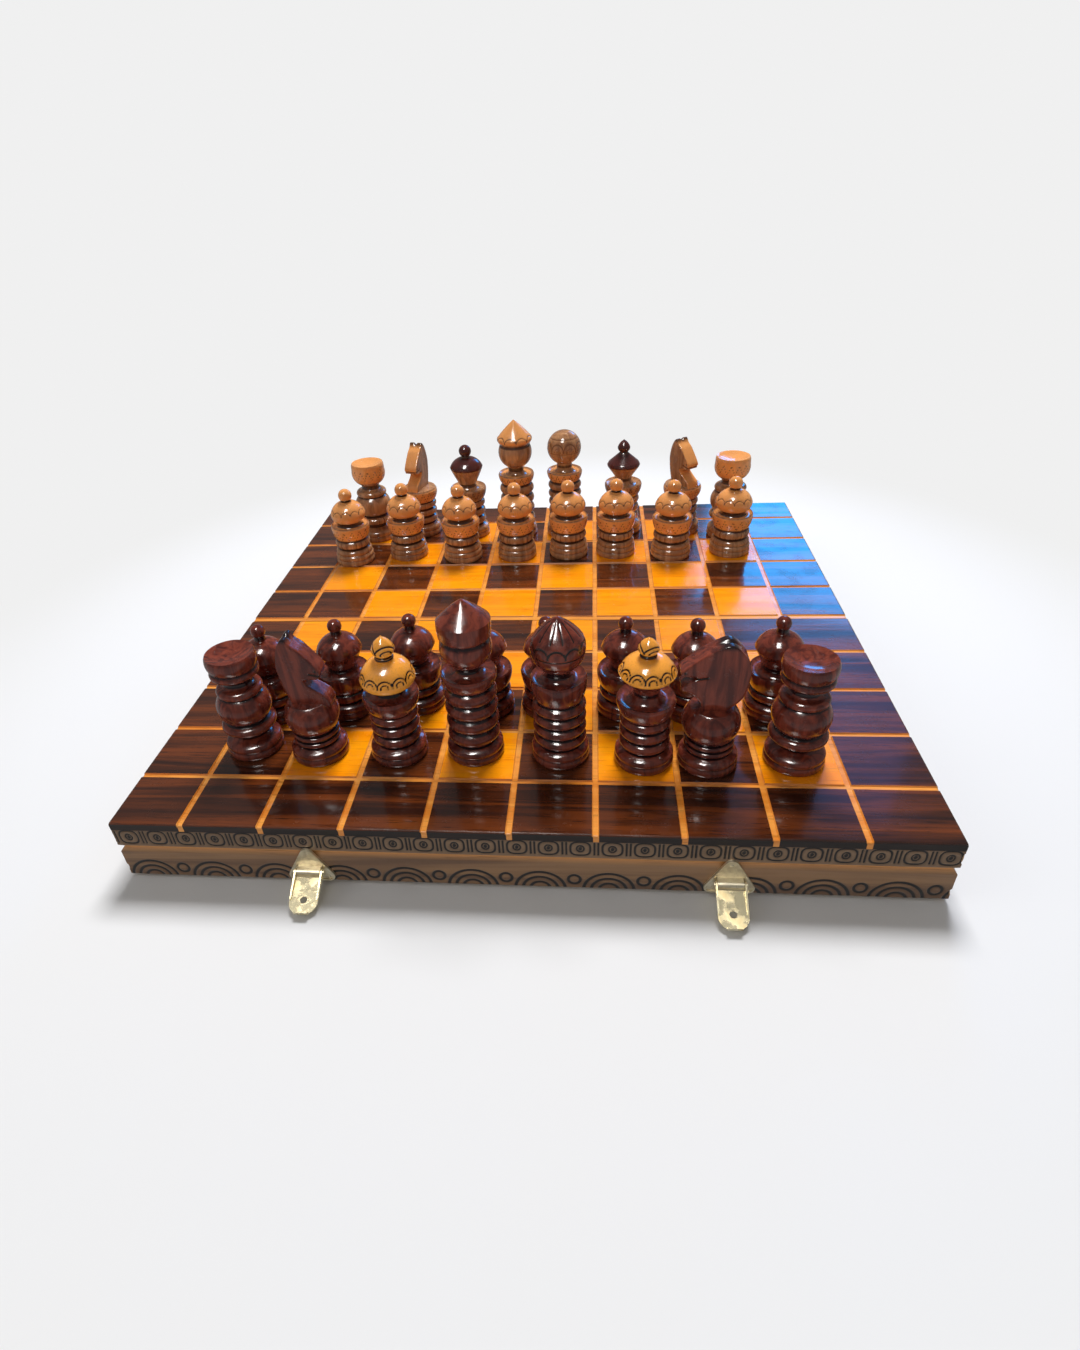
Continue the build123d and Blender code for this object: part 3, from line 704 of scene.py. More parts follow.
@dataclass
class PlayingPanel:
    """One half of the playing surface: squares in two colours with grooves between them."""

    half: Half
    edge_round: float = 0.8
    most_drop: float = 1.2
    groove_slope: float = 0.5
    mesh_step: float = 6.0

    def __post_init__(self) -> None:
        """Take the outline from the CAD panel."""
        self.node = f"{self.half.name.lower()}_panel"
        self.low = low_corner(self.node)
        self.high = high_corner(self.node)
        self.ledge = FAR_LEDGE if self.half is Half.FAR else 0.0

    def row_lines(self) -> list[float]:
        """Y of the grooves that run along X, apart from the one at the fold."""
        return [self.half.value * (self.ledge + i * SQUARE) for i in range(1, ROWS + 1)]

    def fold_strip(self) -> float:
        """How far the orange strip beside the fold reaches."""
        return self.half.value * (self.ledge + GROOVE_WIDTH / 2)

    def column_lines(self) -> list[float]:
        """X of the grooves that run along Y."""
        return [FIELD_LEFT + i * SQUARE for i in range(COLUMNS + 1)]

    def cuts(self, lines: Sequence[float], low: float, high: float) -> np.ndarray:
        """Places of the mesh lines across one direction, close together at the grooves.

        Args:
            lines: Middles of the grooves.
            low: Lower edge of the panel.
            high: Upper edge of the panel.

        Returns:
            The places, in order.
        """
        half_width = GROOVE_WIDTH / 2
        steps = (-half_width, -half_width + self.groove_slope, half_width - self.groove_slope, half_width)
        places = [low, low + self.edge_round * 0.3, low + self.edge_round]
        places += [high - self.edge_round, high - self.edge_round * 0.3, high]
        for line in lines:
            places += [line + step for step in steps]
            places.append(line)
        inside = sorted({round(p, 4) for p in places if low <= p <= high})
        filled = [inside[0]]
        for place in inside[1:]:
            count = max(1, round((place - filled[-1]) / self.mesh_step))
            filled += list(np.linspace(filled[-1], place, count + 1)[1:])
        return np.array(filled)

    def sunk(self, away: np.ndarray) -> np.ndarray:
        """Depth of a groove, from 0 to 1, at a distance from its middle line."""
        return np.clip((GROOVE_WIDTH / 2 - away) / self.groove_slope, 0.0, 1.0)

    def rounded(self, away: np.ndarray) -> np.ndarray:
        """How far the top drops near an outer edge, at a distance from that edge."""
        near = np.clip(1.0 - away / self.edge_round, 0.0, 1.0)
        return self.edge_round * (1.0 - np.sqrt(1.0 - near**2))

    def build(self) -> Shape:
        """Make the panel with its grooves, rounded edges, sides and underside.

        Returns:
            The shape, with a material number on each face.
        """
        far_side = self.half.value * self.fold_strip()
        fold_line = self.fold_strip() - self.half.value * GROOVE_WIDTH / 2
        xs = self.cuts(self.column_lines(), self.low[0], self.high[0])
        ys = self.cuts([*self.row_lines(), fold_line], self.low[1], self.high[1])
        across, along = np.meshgrid(xs, ys)
        column_away = np.min([np.abs(across - x) for x in self.column_lines()], axis=0)
        row_away = np.min([np.abs(along - y) for y in self.row_lines()], axis=0)
        fold_away = np.maximum(np.abs(along) - far_side + GROOVE_WIDTH / 2, 0.0)
        depth = np.maximum.reduce([self.sunk(column_away), self.sunk(row_away), self.sunk(fold_away)])
        outer_edge = abs(self.low[1] if self.half is Half.NEAR else self.high[1])
        drop = self.rounded(outer_edge - np.abs(along))
        drop = drop + self.rounded(np.minimum(across - self.low[0], self.high[0] - across))
        heights = PANEL_TOP - depth * GROOVE_DEPTH - np.minimum(drop, self.most_drop)
        top = np.stack([across, along, heights], axis=-1).reshape(-1, 3)
        top_faces = grid_faces(len(ys), len(xs))
        centre = top[top_faces].mean(axis=1)
        finishes = self.square_finish(centre)
        rim = self.rim(len(ys), len(xs))
        bottom = top[rim] * (1, 1, 0) + (0, 0, PANEL_LOW)
        start = len(top)
        count = len(rim)
        walls = [[rim[i], start + i, start + (i + 1) % count, rim[(i + 1) % count]] for i in range(count)]
        under = [start + i for i in range(count)][::-1]
        faces = [*top_faces.tolist(), *walls, under]
        from_line = np.min([np.abs(top[rim, 0] - x) for x in self.column_lines()], axis=0)
        slack = 0.1
        cut = (from_line < GROOVE_WIDTH / 2 - slack) & (np.roll(from_line, -1) < GROOVE_WIDTH / 2 + slack)
        sides = np.where(cut, PanelPart.GROOVE.value, PanelPart.EDGE.value)
        finishes = np.concatenate([finishes, sides, [PanelPart.UNDERSIDE.value]])
        return Shape(np.concatenate([top, bottom]), faces, {}, finishes)

    def rim(self, rows: int, columns: int) -> list[int]:
        """Find the points round the edge of the grid.

        Args:
            rows: Number of rows of points.
            columns: Number of points in a row.

        Returns:
            Their numbers, in order.
        """
        index = np.arange(rows * columns).reshape(rows, columns)
        sides = (index[0, :-1], index[:-1, -1], index[-1, :0:-1], index[:0:-1, 0])
        return [int(i) for i in np.concatenate(sides)]

    def square_finish(self, centre: np.ndarray) -> np.ndarray:
        """Tell dark squares, orange squares and grooves apart.

        Args:
            centre: Middle of each face of the top.

        Returns:
            The material number of each face.
        """
        column = np.floor((centre[:, 0] - FIELD_LEFT) / SQUARE)
        row = np.floor((centre[:, 1] * self.half.value - self.ledge) / SQUARE)
        row_from_near = ROWS + row if self.half is Half.FAR else ROWS - 1 - row
        on_field = (column >= 0) & (column < COLUMNS) & (row < ROWS)
        light = on_field & ((column + row_from_near) % 2 == 1)
        away = np.min([np.abs(centre[:, 0] - x) for x in self.column_lines()], axis=0)
        away = np.minimum(away, np.min([np.abs(centre[:, 1] - y) for y in self.row_lines()], axis=0))
        groove = (away < GROOVE_WIDTH / 2) | (np.abs(centre[:, 1]) < abs(self.fold_strip()))
        squares = np.where(light, PanelPart.LIGHT.value, PanelPart.DARK.value)
        return np.where(groove, PanelPart.GROOVE.value, squares)

    def place(self, materials: Sequence[bpy.types.Material]) -> None:
        """Put the panel into the scene."""
        make_piece(f"{self.node}_squares", self.build(), materials, self.node, smooth_angle=20.0)


# ---------------------------------------------------------------------------------------------
# The board: carved rails
# ---------------------------------------------------------------------------------------------


class Corner(Enum):
    """How a rail ends: mitred at an outer corner, or square at the fold."""

    MITRED = 1.0
    SQUARE = 0.0


@dataclass
class CarvedRail:
    """An outer rail: two carved bands with a V groove between them, darkened by the burning iron."""

    node: str
    start: Corner
    end: Corner
    thickness: float = 9.0
    groove_low: float = 16.6
    groove_high: float = 21.2
    groove_depth: float = 1.8
    step: float = 0.5
    arch_pitch: float = 32.9
    arch_phase: float = 11.4
    arch_radii: tuple[float, ...] = (11.2, 7.8, 4.4)
    arch_foot: float = 1.2
    arch_squeeze: float = 0.93
    ring_radius: float = 2.9
    ring_height: float = 5.6
    eye_pitch: float = 14.82
    eye_phase: float = 1.2
    eye_lift: float = 0.3
    frame_reach: Span = (4.6, 4.3)
    eye_radius: float = 2.0
    pupil_radius: float = 0.7
    bar_reach: float = 4.2
    bar_side: float = 0.9
    line_width: float = 1.35
    upper_width: float = 0.64
    line_depth: float = 0.5
    edge_round: float = 0.6
    edge_drop: float = 0.35
    plain_margin: float = 0.4

    def lower_band(self, along: np.ndarray, height: np.ndarray) -> np.ndarray:
        """Triple arches with small rings between them.

        Args:
            along: Place along the rail.
            height: Height on the rail.

        Returns:
            1 on the middle of a carved line, falling to 0 at its sides.
        """
        across = (along - self.arch_phase + self.arch_pitch / 2) % self.arch_pitch - self.arch_pitch / 2
        from_foot = np.hypot(across * self.arch_squeeze, height + self.arch_foot)
        away = np.min([np.abs(from_foot - radius) for radius in self.arch_radii], axis=0)
        beside = self.arch_pitch / 2 - np.abs(across)
        from_ring = np.hypot(beside, height - self.ring_height) - self.ring_radius
        away = np.minimum(away, np.abs(from_ring))
        return np.clip(1.0 - away / self.line_width, 0.0, 1.0)

    def upper_band(self, along: np.ndarray, height: np.ndarray) -> np.ndarray:
        """Rounded frames round an eye, with upright bars between them.

        Args:
            along: Place along the rail.
            height: Height on the rail.

        Returns:
            1 on the middle of a carved line, falling to 0 at its sides.
        """
        middle = (self.groove_high + PANEL_LOW) / 2 + self.eye_lift
        across = (along - self.eye_phase + self.eye_pitch / 2) % self.eye_pitch - self.eye_pitch / 2
        up = height - middle
        wide, tall = self.frame_reach
        outline = (np.abs(across / wide) ** 3 + np.abs(up / tall) ** 3) ** (1 / 3)
        frame_line = np.abs(outline - 1.0) * 4.4
        eye = np.abs(np.hypot(across / 0.85, up) - self.eye_radius)
        pupil = np.maximum(np.hypot(across / 0.7, up) - self.pupil_radius, 0.0)
        beside = self.eye_pitch / 2 - np.abs(across)
        bar = np.where(np.abs(up) < self.bar_reach, np.abs(beside - self.bar_side), 9.0)
        away = np.minimum.reduce([frame_line, eye, pupil, bar])
        return np.clip(1.0 - away / (self.line_width * self.upper_width), 0.0, 1.0)

    def build(self) -> Shape:
        """Make the rail along +X with its outer face towards -Y, then turn it to its place.

        Returns:
            The shape, with its carved lines, V groove and upper band marked.
        """
        middle = (self.groove_low + self.groove_high) / 2
        heights = np.concatenate([
            np.arange(0.0, self.groove_low, self.step),
            [self.groove_low, middle - 0.01, middle + 0.01, self.groove_high],
            np.arange(self.groove_high + self.step, PANEL_LOW, self.step),
            [PANEL_LOW],
        ])
        count = max(2, round(self.length / self.step))
        share = np.linspace(0.0, 1.0, count + 1)
        part, height = np.meshgrid(share, heights, indexing="ij")
        half_width = (self.groove_high - self.groove_low) / 2
        notch = np.clip(1.0 - np.abs(height - middle) / half_width, 0.0, 1.0)
        along = self.origin + part * self.length
        lower = self.lower_band(along, height) * (height < self.groove_low - self.plain_margin)
        upper = self.upper_band(along, height) * (height > self.groove_high + self.plain_margin)
        line = np.maximum(lower, upper)
        edge = np.clip(np.minimum(height, PANEL_LOW - height) / self.edge_round, 0.0, 1.0)
        depth = notch * self.groove_depth + self.line_depth * np.clip(line * 1.6, 0.0, 1.0) * edge
        depth = depth + self.edge_drop * (1.0 - edge) ** 2
        face = self.at(part, depth, height)
        back = np.full_like(share, self.thickness)
        inner = [self.at(share, back, np.full_like(share, z)) for z in (PANEL_LOW, 0.0)]
        rows = np.concatenate([face, np.stack(inner, axis=1)], axis=1)
        columns = rows.shape[1]
        faces = grid_faces(count + 1, columns, wrap=True).tolist()
        faces.append(list(range(columns)))
        last = count * columns
        faces.append([last + i for i in range(columns)][::-1])
        pad = np.zeros((count + 1, 2))
        marks = {
            "carved": np.concatenate([line, pad], axis=1).ravel(),
            "groove": np.concatenate([np.clip(notch * 6.0, 0.0, 1.0), pad], axis=1).ravel(),
            "upper_band": np.concatenate([(height > middle).astype(float), pad], axis=1).ravel(),
        }
        inner_faces = [i % columns >= len(heights) - 1 for i in range(count * columns)]
        finishes = np.concatenate([np.array(inner_faces, int), [1, 1]])
        return Shape(rows.reshape(-1, 3), faces, marks, finishes)

    def at(self, part: np.ndarray, depth: np.ndarray, height: np.ndarray) -> np.ndarray:
        """Points on or in the rail, with its ends mitred or square.

        Args:
            part: Share of the length.
            depth: Depth behind the outer face.
            height: Height above the foot.

        Returns:
            The points, where the rail lies on the box.
        """
        first = self.origin + self.start.value * depth
        last = self.origin + self.length - self.end.value * depth
        along = first + part * (last - first)
        return self.turn(np.stack([along, depth, height], axis=-1))

    def turn(self, points: np.ndarray) -> np.ndarray:
        """Carry points of a rail that faces the player to where this rail lies."""
        raise NotImplementedError

    def place(self, materials: Sequence[bpy.types.Material]) -> None:
        """Put the rail into the scene."""
        make_piece(f"{self.node}_carved", self.build(), materials, self.node, smooth_angle=50.0)


@dataclass
class EndRail(CarvedRail):
    """The rail along the near edge, or the one along the far edge."""

    def __post_init__(self) -> None:
        """Take the length and the outer face from the CAD rail."""
        low, high = low_corner(self.node), high_corner(self.node)
        self.origin = low[0]
        self.length = high[0] - low[0]
        self.outward = -1.0 if self.node.startswith("near") else 1.0
        self.outer = low[1] if self.outward < 0 else high[1]

    def turn(self, points: np.ndarray) -> np.ndarray:
        """Carry points of a rail that faces the player to where this rail lies."""
        along, depth, height = points[..., 0], points[..., 1], points[..., 2]
        return np.stack([-self.outward * along, self.outer - self.outward * depth, height], axis=-1)


@dataclass
class SideRail(CarvedRail):
    """A rail along the left or right edge of one half."""

    def __post_init__(self) -> None:
        """Take the length and the outer face from the CAD rail."""
        low, high = low_corner(self.node), high_corner(self.node)
        self.outward = -1.0 if "left" in self.node else 1.0
        self.outer = low[0] if self.outward < 0 else high[0]
        self.length = high[1] - low[1]
        self.origin = low[1] if self.outward > 0 else -high[1]

    def turn(self, points: np.ndarray) -> np.ndarray:
        """Carry points of a rail that faces the player to where this rail lies."""
        along, depth, height = points[..., 0], points[..., 1], points[..., 2]
        return np.stack([self.outer - self.outward * depth, self.outward * along, height], axis=-1)


# ---------------------------------------------------------------------------------------------
# Chessmen: outlines
# ---------------------------------------------------------------------------------------------

Point = tuple[float, float]


class Arc(NamedTuple):
    """A rounded stretch of an outline: it bulges through one point and ends at another."""

    through: Point
    end: Point


Outline = list[Union[Point, Arc]]
FOOT_RADIUS = 14.9
WAIST_HEIGHT = 9.8


def arc_points(start: Point, arc: Arc, step: float) -> list[Point]:
    """Sample the circle from a start through an arc's bulge to its end.

    Args:
        start: Where the arc starts.
        arc: The arc.
        step: Distance between samples.

    Returns:
        The samples after the start.
    """
    a, b, c = (complex(*p) for p in (start, arc.through, arc.end))
    w = (c - a) / (b - a)
    if abs(w.imag) < 1e-6:
        return [arc.end]
    centre = (b - a) * (w - abs(w) ** 2) / (2j * w.imag) + a
    radius = abs(a - centre)
    first = math.atan2((a - centre).imag, (a - centre).real)
    sweep = math.atan2(((c - centre) / (a - centre)).imag, ((c - centre) / (a - centre)).real)
    bulge = math.atan2(((b - centre) / (a - centre)).imag, ((b - centre) / (a - centre)).real)
    if bulge * sweep < 0 or abs(bulge) > abs(sweep):
        sweep -= math.copysign(2 * math.pi, sweep)
    count = max(3, round(abs(sweep) * radius / step))
    angles = [first + sweep * i / count for i in range(1, count + 1)]
    return [(centre.real + radius * math.cos(t), centre.imag + radius * math.sin(t)) for t in angles]


def trace(outline: Outline, step: float) -> np.ndarray:
    """Sample an outline of corners and arcs.

    Args:
        outline: Corners (radius, height) and arcs, from the foot up.
        step: Distance between samples.

    Returns:
        Radii and heights, one row per sample.
    """
    points: list[Point] = [outline[0]]
    for corner in outline[1:]:
        last = points[-1]
        if isinstance(corner, Arc):
            points += arc_points(last, corner, step)
            continue
        count = max(1, round(math.dist(last, corner) / step))
        for i in range(1, count + 1):
            part = i / count
            points.append((last[0] + (corner[0] - last[0]) * part, last[1] + (corner[1] - last[1]) * part))
    kept = [points[0]]
    for point in points[1:]:
        if math.dist(point, kept[-1]) > 0.02:
            kept.append(point)
    return np.array(kept)


def foot() -> Outline:
    """Flat foot with two rolled edges, up to the waist.

    Returns:
        The outline.
    """
    return [
        (0, 0),
        (FOOT_RADIUS - 0.8, 0),
        Arc((FOOT_RADIUS, 2.2), (FOOT_RADIUS - 0.8, 4.4)),
        Arc((FOOT_RADIUS - 0.3, 6.3), (FOOT_RADIUS - 1.6, 8.2)),
        (FOOT_RADIUS - 4.6, WAIST_HEIGHT),
    ]


def rings(bottom: float, top: float, count: int, neck: float, rim: float) -> Outline:
    """A stack of equal rounded rings with tight creases between them.

    Args:
        bottom: Height of its lower end.
        top: Height of its upper end.
        count: Number of rings.
        neck: Radius in the creases.
        rim: Radius of the rings.

    Returns:
        The outline.
    """
    pitch = (top - bottom) / count
    outline: Outline = [(neck, bottom)]
    for i in range(count):
        low = bottom + i * pitch
        outline.append((rim - 1.4, low + pitch * 0.14))
        outline.append(Arc((rim, low + pitch / 2), (rim - 1.4, low + pitch * 0.86)))
        outline.append((neck, low + pitch))
    return outline


def cup(bottom: float, height: float, rim: float, neck: float, neck_height: float) -> Outline:
    """Flared cup with a thin lip and a dished top, closing on the neck of the head.

    Args:
        bottom: Height of its foot.
        height: Its own height.
        rim: Radius of the lip.
        neck: Radius of the neck.
        neck_height: Height at which the neck starts.

    Returns:
        The outline.
    """
    lip = bottom + height
    return [
        (rim - 2.6, bottom),
        Arc((rim - 0.7, bottom + height * 0.4), (rim, lip - 1.6)),
        (rim - 0.05, lip - 1.1),
        (rim - 0.6, lip),
        Arc(((rim + neck) / 2 + 0.6, lip - 1.4), (neck, neck_height)),
    ]


def ball(neck: float, radius: float, top: float) -> Outline:
    """Ball of the given radius on a neck, to the tip of the man."""
    centre = top - radius
    return [(neck, centre - math.sqrt(radius**2 - neck**2)), Arc((radius, centre), (0, top))]


def king_body() -> Outline:
    """Ring stack and cup of a king, up to the neck."""
    return foot() + rings(WAIST_HEIGHT, 42.6, 4, 10.8, 13.4) + cup(42.6, 8.2, 14.0, 5.9, 52.4)


def near_king() -> Outline:
    """King with a ball head under a drum with a pointed top.

    Returns:
        The outline.
    """
    return (
        king_body()
        + [(5.9, 54.2), Arc((12.6, 62.4), (11.6, 69.6)), (12.8, 71.4), (13.2, 76.0), (13.1, 79.4)]
        + [Arc((6.9, 85.2), (0.8, 89.8)), (0, 90.0)]
    )


def far_king() -> Outline:
    """King with a ball head under a pointed hood.

    Returns:
        The outline.
    """
    return (
        king_body()
        + [(5.9, 55.6), Arc((12.9, 66.4), (11.4, 73.2)), (12.9, 75.6), Arc((13.5, 77.2), (12.9, 78.8))]
        + [Arc((7.8, 84.4), (1.6, 90.4)), (0.6, 91.3), (0, 91.5)]
    )


def near_queen() -> Outline:
    """Ring stack, tall cup, onion head with a low point.

    Returns:
        The outline.
    """
    return (
        foot()
        + rings(WAIST_HEIGHT, 35.6, 4, 10.8, 13.3)
        + cup(35.6, 13.2, 13.9, 6.2, 50.2)
        + [(6.2, 52.6), Arc((12.4, 60.0), (13.2, 67.8)), (12.4, 70.4)]
        + [Arc((7.0, 76.6), (0.8, 81.2)), (0, 81.4)]
    )


def far_queen() -> Outline:
    """Ring stack, cup and a plain ball head.

    Returns:
        The outline.
    """
    return (
        foot()
        + rings(WAIST_HEIGHT, 43.8, 5, 10.6, 12.9)
        + cup(43.8, 8.2, 13.7, 5.9, 53.4)
        + ball(5.9, 13.0, 82.5)
    )


def bishop_body(stack_top: float) -> Outline:
    """Foot, ring stack and cup of a bishop, up to its neck."""
    stack = rings(WAIST_HEIGHT, stack_top, 3, 9.8, 12.6)
    return foot() + stack + cup(stack_top, 9.4, 14.4, 6.4, stack_top + 11.6)


def onion(neck: float, radius: float, low: float, top: float) -> Outline:
    """Onion-shaped knob with a low point.

    Args:
        neck: Radius of the neck under it.
        radius: Its largest radius.
        low: Height at which it starts.
        top: Height of its point.

    Returns:
        The outline.
    """
    tall = top - low
    return [
        (neck, low),
        Arc((radius * 0.88, low + tall * 0.13), (radius, low + tall * 0.36)),
        Arc((radius * 0.76, low + tall * 0.62), (radius * 0.16, low + tall * 0.92)),
        (0, top),
    ]


def low_bishop() -> Outline:
    """Bishop with a thick, low cap and a large onion for a knob.

    Returns:
        The outline.
    """
    return (
        bishop_body(29.6)
        + [(7.6, 41.6), (12.6, 44.8), Arc((13.9, 47.2), (13.3, 49.8))]
        + [Arc((9.2, 56.2), (4.6, 58.4)), Arc((4.9, 59.6), (3.4, 60.4))]
        + onion(3.4, 5.8, 60.4, 71.4)
    )


def high_bishop() -> Outline:
    """Bishop with a wide cap on a slim neck, and a pear for a knob.

    Returns:
        The outline.
    """
    return (
        bishop_body(29.6)
        + [(6.8, 45.2), (13.2, 52.2), (13.8, 53.6), (13.0, 55.2)]
        + [Arc((8.6, 60.2), (3.9, 61.8)), Arc((4.3, 62.8), (3.1, 63.4))]
        + onion(3.1, 5.1, 63.4, 72.2)
    )


def bell_bishop() -> Outline:
    """Bishop with a full bell under its cap, and a round knob.

    Returns:
        The outline.
    """
    return (
        bishop_body(30.4)
        + [Arc((8.6, 46.4), (12.4, 54.6)), (12.9, 56.2), (12.2, 57.6)]
        + [Arc((8.2, 61.8), (3.4, 63.6))]
        + ball(2.9, 4.8, 73.2)
    )


def cone_bishop() -> Outline:
    """Bishop with a cone for a cap, and an onion for a knob.

    Returns:
        The outline.
    """
    return (
        bishop_body(30.4)
        + [(6.8, 45.2), (12.2, 52.8), (12.6, 54.2), (11.6, 56.0), (3.6, 63.0)]
        + onion(3.0, 4.8, 64.0, 73.4)
    )


def rook_body() -> Outline:
    """Waisted foot and barrel body between rings, up to the neck of the turret.

    Returns:
        The outline.
    """
    return (
        foot()
        + [(8.6, 11.2), (8.6, 13.6), (12.2, 14.6)]
        + [Arc((14.2, 17.2), (12.2, 19.6)), (10.8, 20.6)]
        + [Arc((14.2, 28.4), (10.6, 36.4))]
        + [Arc((11.9, 38.8), (9.8, 41.0)), Arc((7.0, 43.2), (7.4, 45.4))]
    )


def near_rook() -> Outline:
    """Rook with a ring under its turret and a dished top.

    Returns:
        The outline.
    """
    return (
        rook_body()
        + [(11.4, 47.4), Arc((12.6, 49.2), (12.0, 50.8)), (11.6, 51.4)]
        + [Arc((13.0, 55.2), (12.7, 58.8)), (12.2, 59.8), (11.2, 59.3), Arc((6.0, 57.2), (0, 56.4))]
    )


def far_rook() -> Outline:
    """Rook with a plain bowl for a turret and a dished top.

    Returns:
        The outline.
    """
    return (
        rook_body()
        + [(10.2, 47.6), Arc((12.7, 51.6), (13.0, 56.8)), (12.8, 61.0), (12.2, 62.6)]
        + [(11.0, 62.2), Arc((6.0, 60.2), (0, 59.4))]
    )


def near_pawn() -> Outline:
    """Ring, cup, domed cap with a sharp edge, and a ball knob.

    Returns:
        The outline.
    """
    return (
        foot()
        + [(10.6, WAIST_HEIGHT), Arc((13.2, 12.6), (11.6, 15.6))]
        + cup(15.6, 11.0, 14.6, 8.4, 28.6)
        + [(8.6, 31.0), Arc((10.2, 34.6), (12.6, 39.4)), (12.2, 40.6), Arc((8.3, 46.2), (3.2, 48.6))]
        + ball(2.8, 3.9, 57.8)
    )


def far_pawn() -> Outline:
    """Foot with a third roll, ring, high cup, full round cap and a ball knob.

    Returns:
        The outline.
    """
    return (
        foot()[:-1]
        + [Arc((FOOT_RADIUS - 1.2, 10.4), (FOOT_RADIUS - 2.6, 12.0)), (10.8, 13.0)]
        + [Arc((13.4, 16.2), (11.8, 19.4))]
        + cup(19.6, 11.4, 14.6, 9.4, 32.4)
        + [(9.6, 33.2), Arc((12.4, 35.8), (13.1, 39.6)), (12.7, 40.8), Arc((8.6, 46.2), (3.2, 48.6))]
        + ball(2.8, 5.0, 57.8)
    )


def near_knight() -> Outline:
    """Ring, ball body with a flat top for the horse's neck."""
    return foot() + rings(WAIST_HEIGHT, 17.4, 2, 10.8, 12.2) + [Arc((14.1, 26.6), (10.4, 34.6)), (0, 35.4)]


def far_knight() -> Outline:
    """Rings and a cup with a flat top for the horse's neck.

    Returns:
        The outline.
    """
    return (
        foot()
        + rings(WAIST_HEIGHT, 28.0, 3, 10.2, 12.8)
        + [(11.6, 28.0), Arc((13.8, 31.4), (14.3, 36.4)), (13.2, 38.2), (0, 39.4)]
    )


# ---------------------------------------------------------------------------------------------
# Chessmen: carving
# ---------------------------------------------------------------------------------------------


class Motif(Enum):
    """Marks that repeat round a turned piece."""

    SCALLOPS = "single arcs side by side"
    DOUBLE_SCALLOPS = "arc within arc"
    ZIGZAG = "a zigzag line"
    BARS = "upright bars"
    RING = "a plain line all the way round"


@dataclass(frozen=True)
class Carving:
    """One band of marks round a man, between two heights."""

    motif: Motif
    low: float
    high: float
    count: int = 12
    width: float = 0.8

    def nearness(self, turn: np.ndarray, height: np.ndarray, radius: np.ndarray) -> np.ndarray:
        """How close points are to the middle of the marks.

        Args:
            turn: Angle round the axis, in whole turns.
            height: Height on the man.
            radius: Distance from the axis.

        Returns:
            1 on a mark's middle line, 0 at its width and beyond.
        """
        unit = 2 * math.pi * np.maximum(radius, 0.5) / self.count
        across = ((turn * self.count) % 1.0 - 0.5) * unit
        up = height - self.low
        tall = self.high - self.low
        if self.motif is Motif.SCALLOPS:
            away = self.arch(across, up, unit, tall)
        elif self.motif is Motif.DOUBLE_SCALLOPS:
            inner = self.arch(across, up, unit * 0.5, tall * 0.5)
            away = np.minimum(self.arch(across, up, unit, tall), inner)
        elif self.motif is Motif.ZIGZAG:
            away = np.abs(up / tall - np.abs(across / unit) * 2.0) * tall * 0.7
        elif self.motif is Motif.BARS:
            away = np.abs(across)
        else:
            away = np.abs(up - tall / 2)
        inside = (height >= self.low - self.width) & (height <= self.high + self.width)
        return np.clip(1.0 - away / self.width, 0.0, 1.0) * inside

    def arch(self, across: np.ndarray, up: np.ndarray, wide: np.ndarray, tall: float) -> np.ndarray:
        """Distance from an arch that stands on the band's lower edge."""
        return np.abs(np.hypot(across / wide * 2.0, up / tall) - 1.0) * min(tall, 3.0)


@dataclass(frozen=True)
class Pattern:
    """What is burnt on a man, and between which heights its accent colour lies."""

    carvings: tuple[Carving, ...] = ()
    accents: tuple[Span, ...] = ()


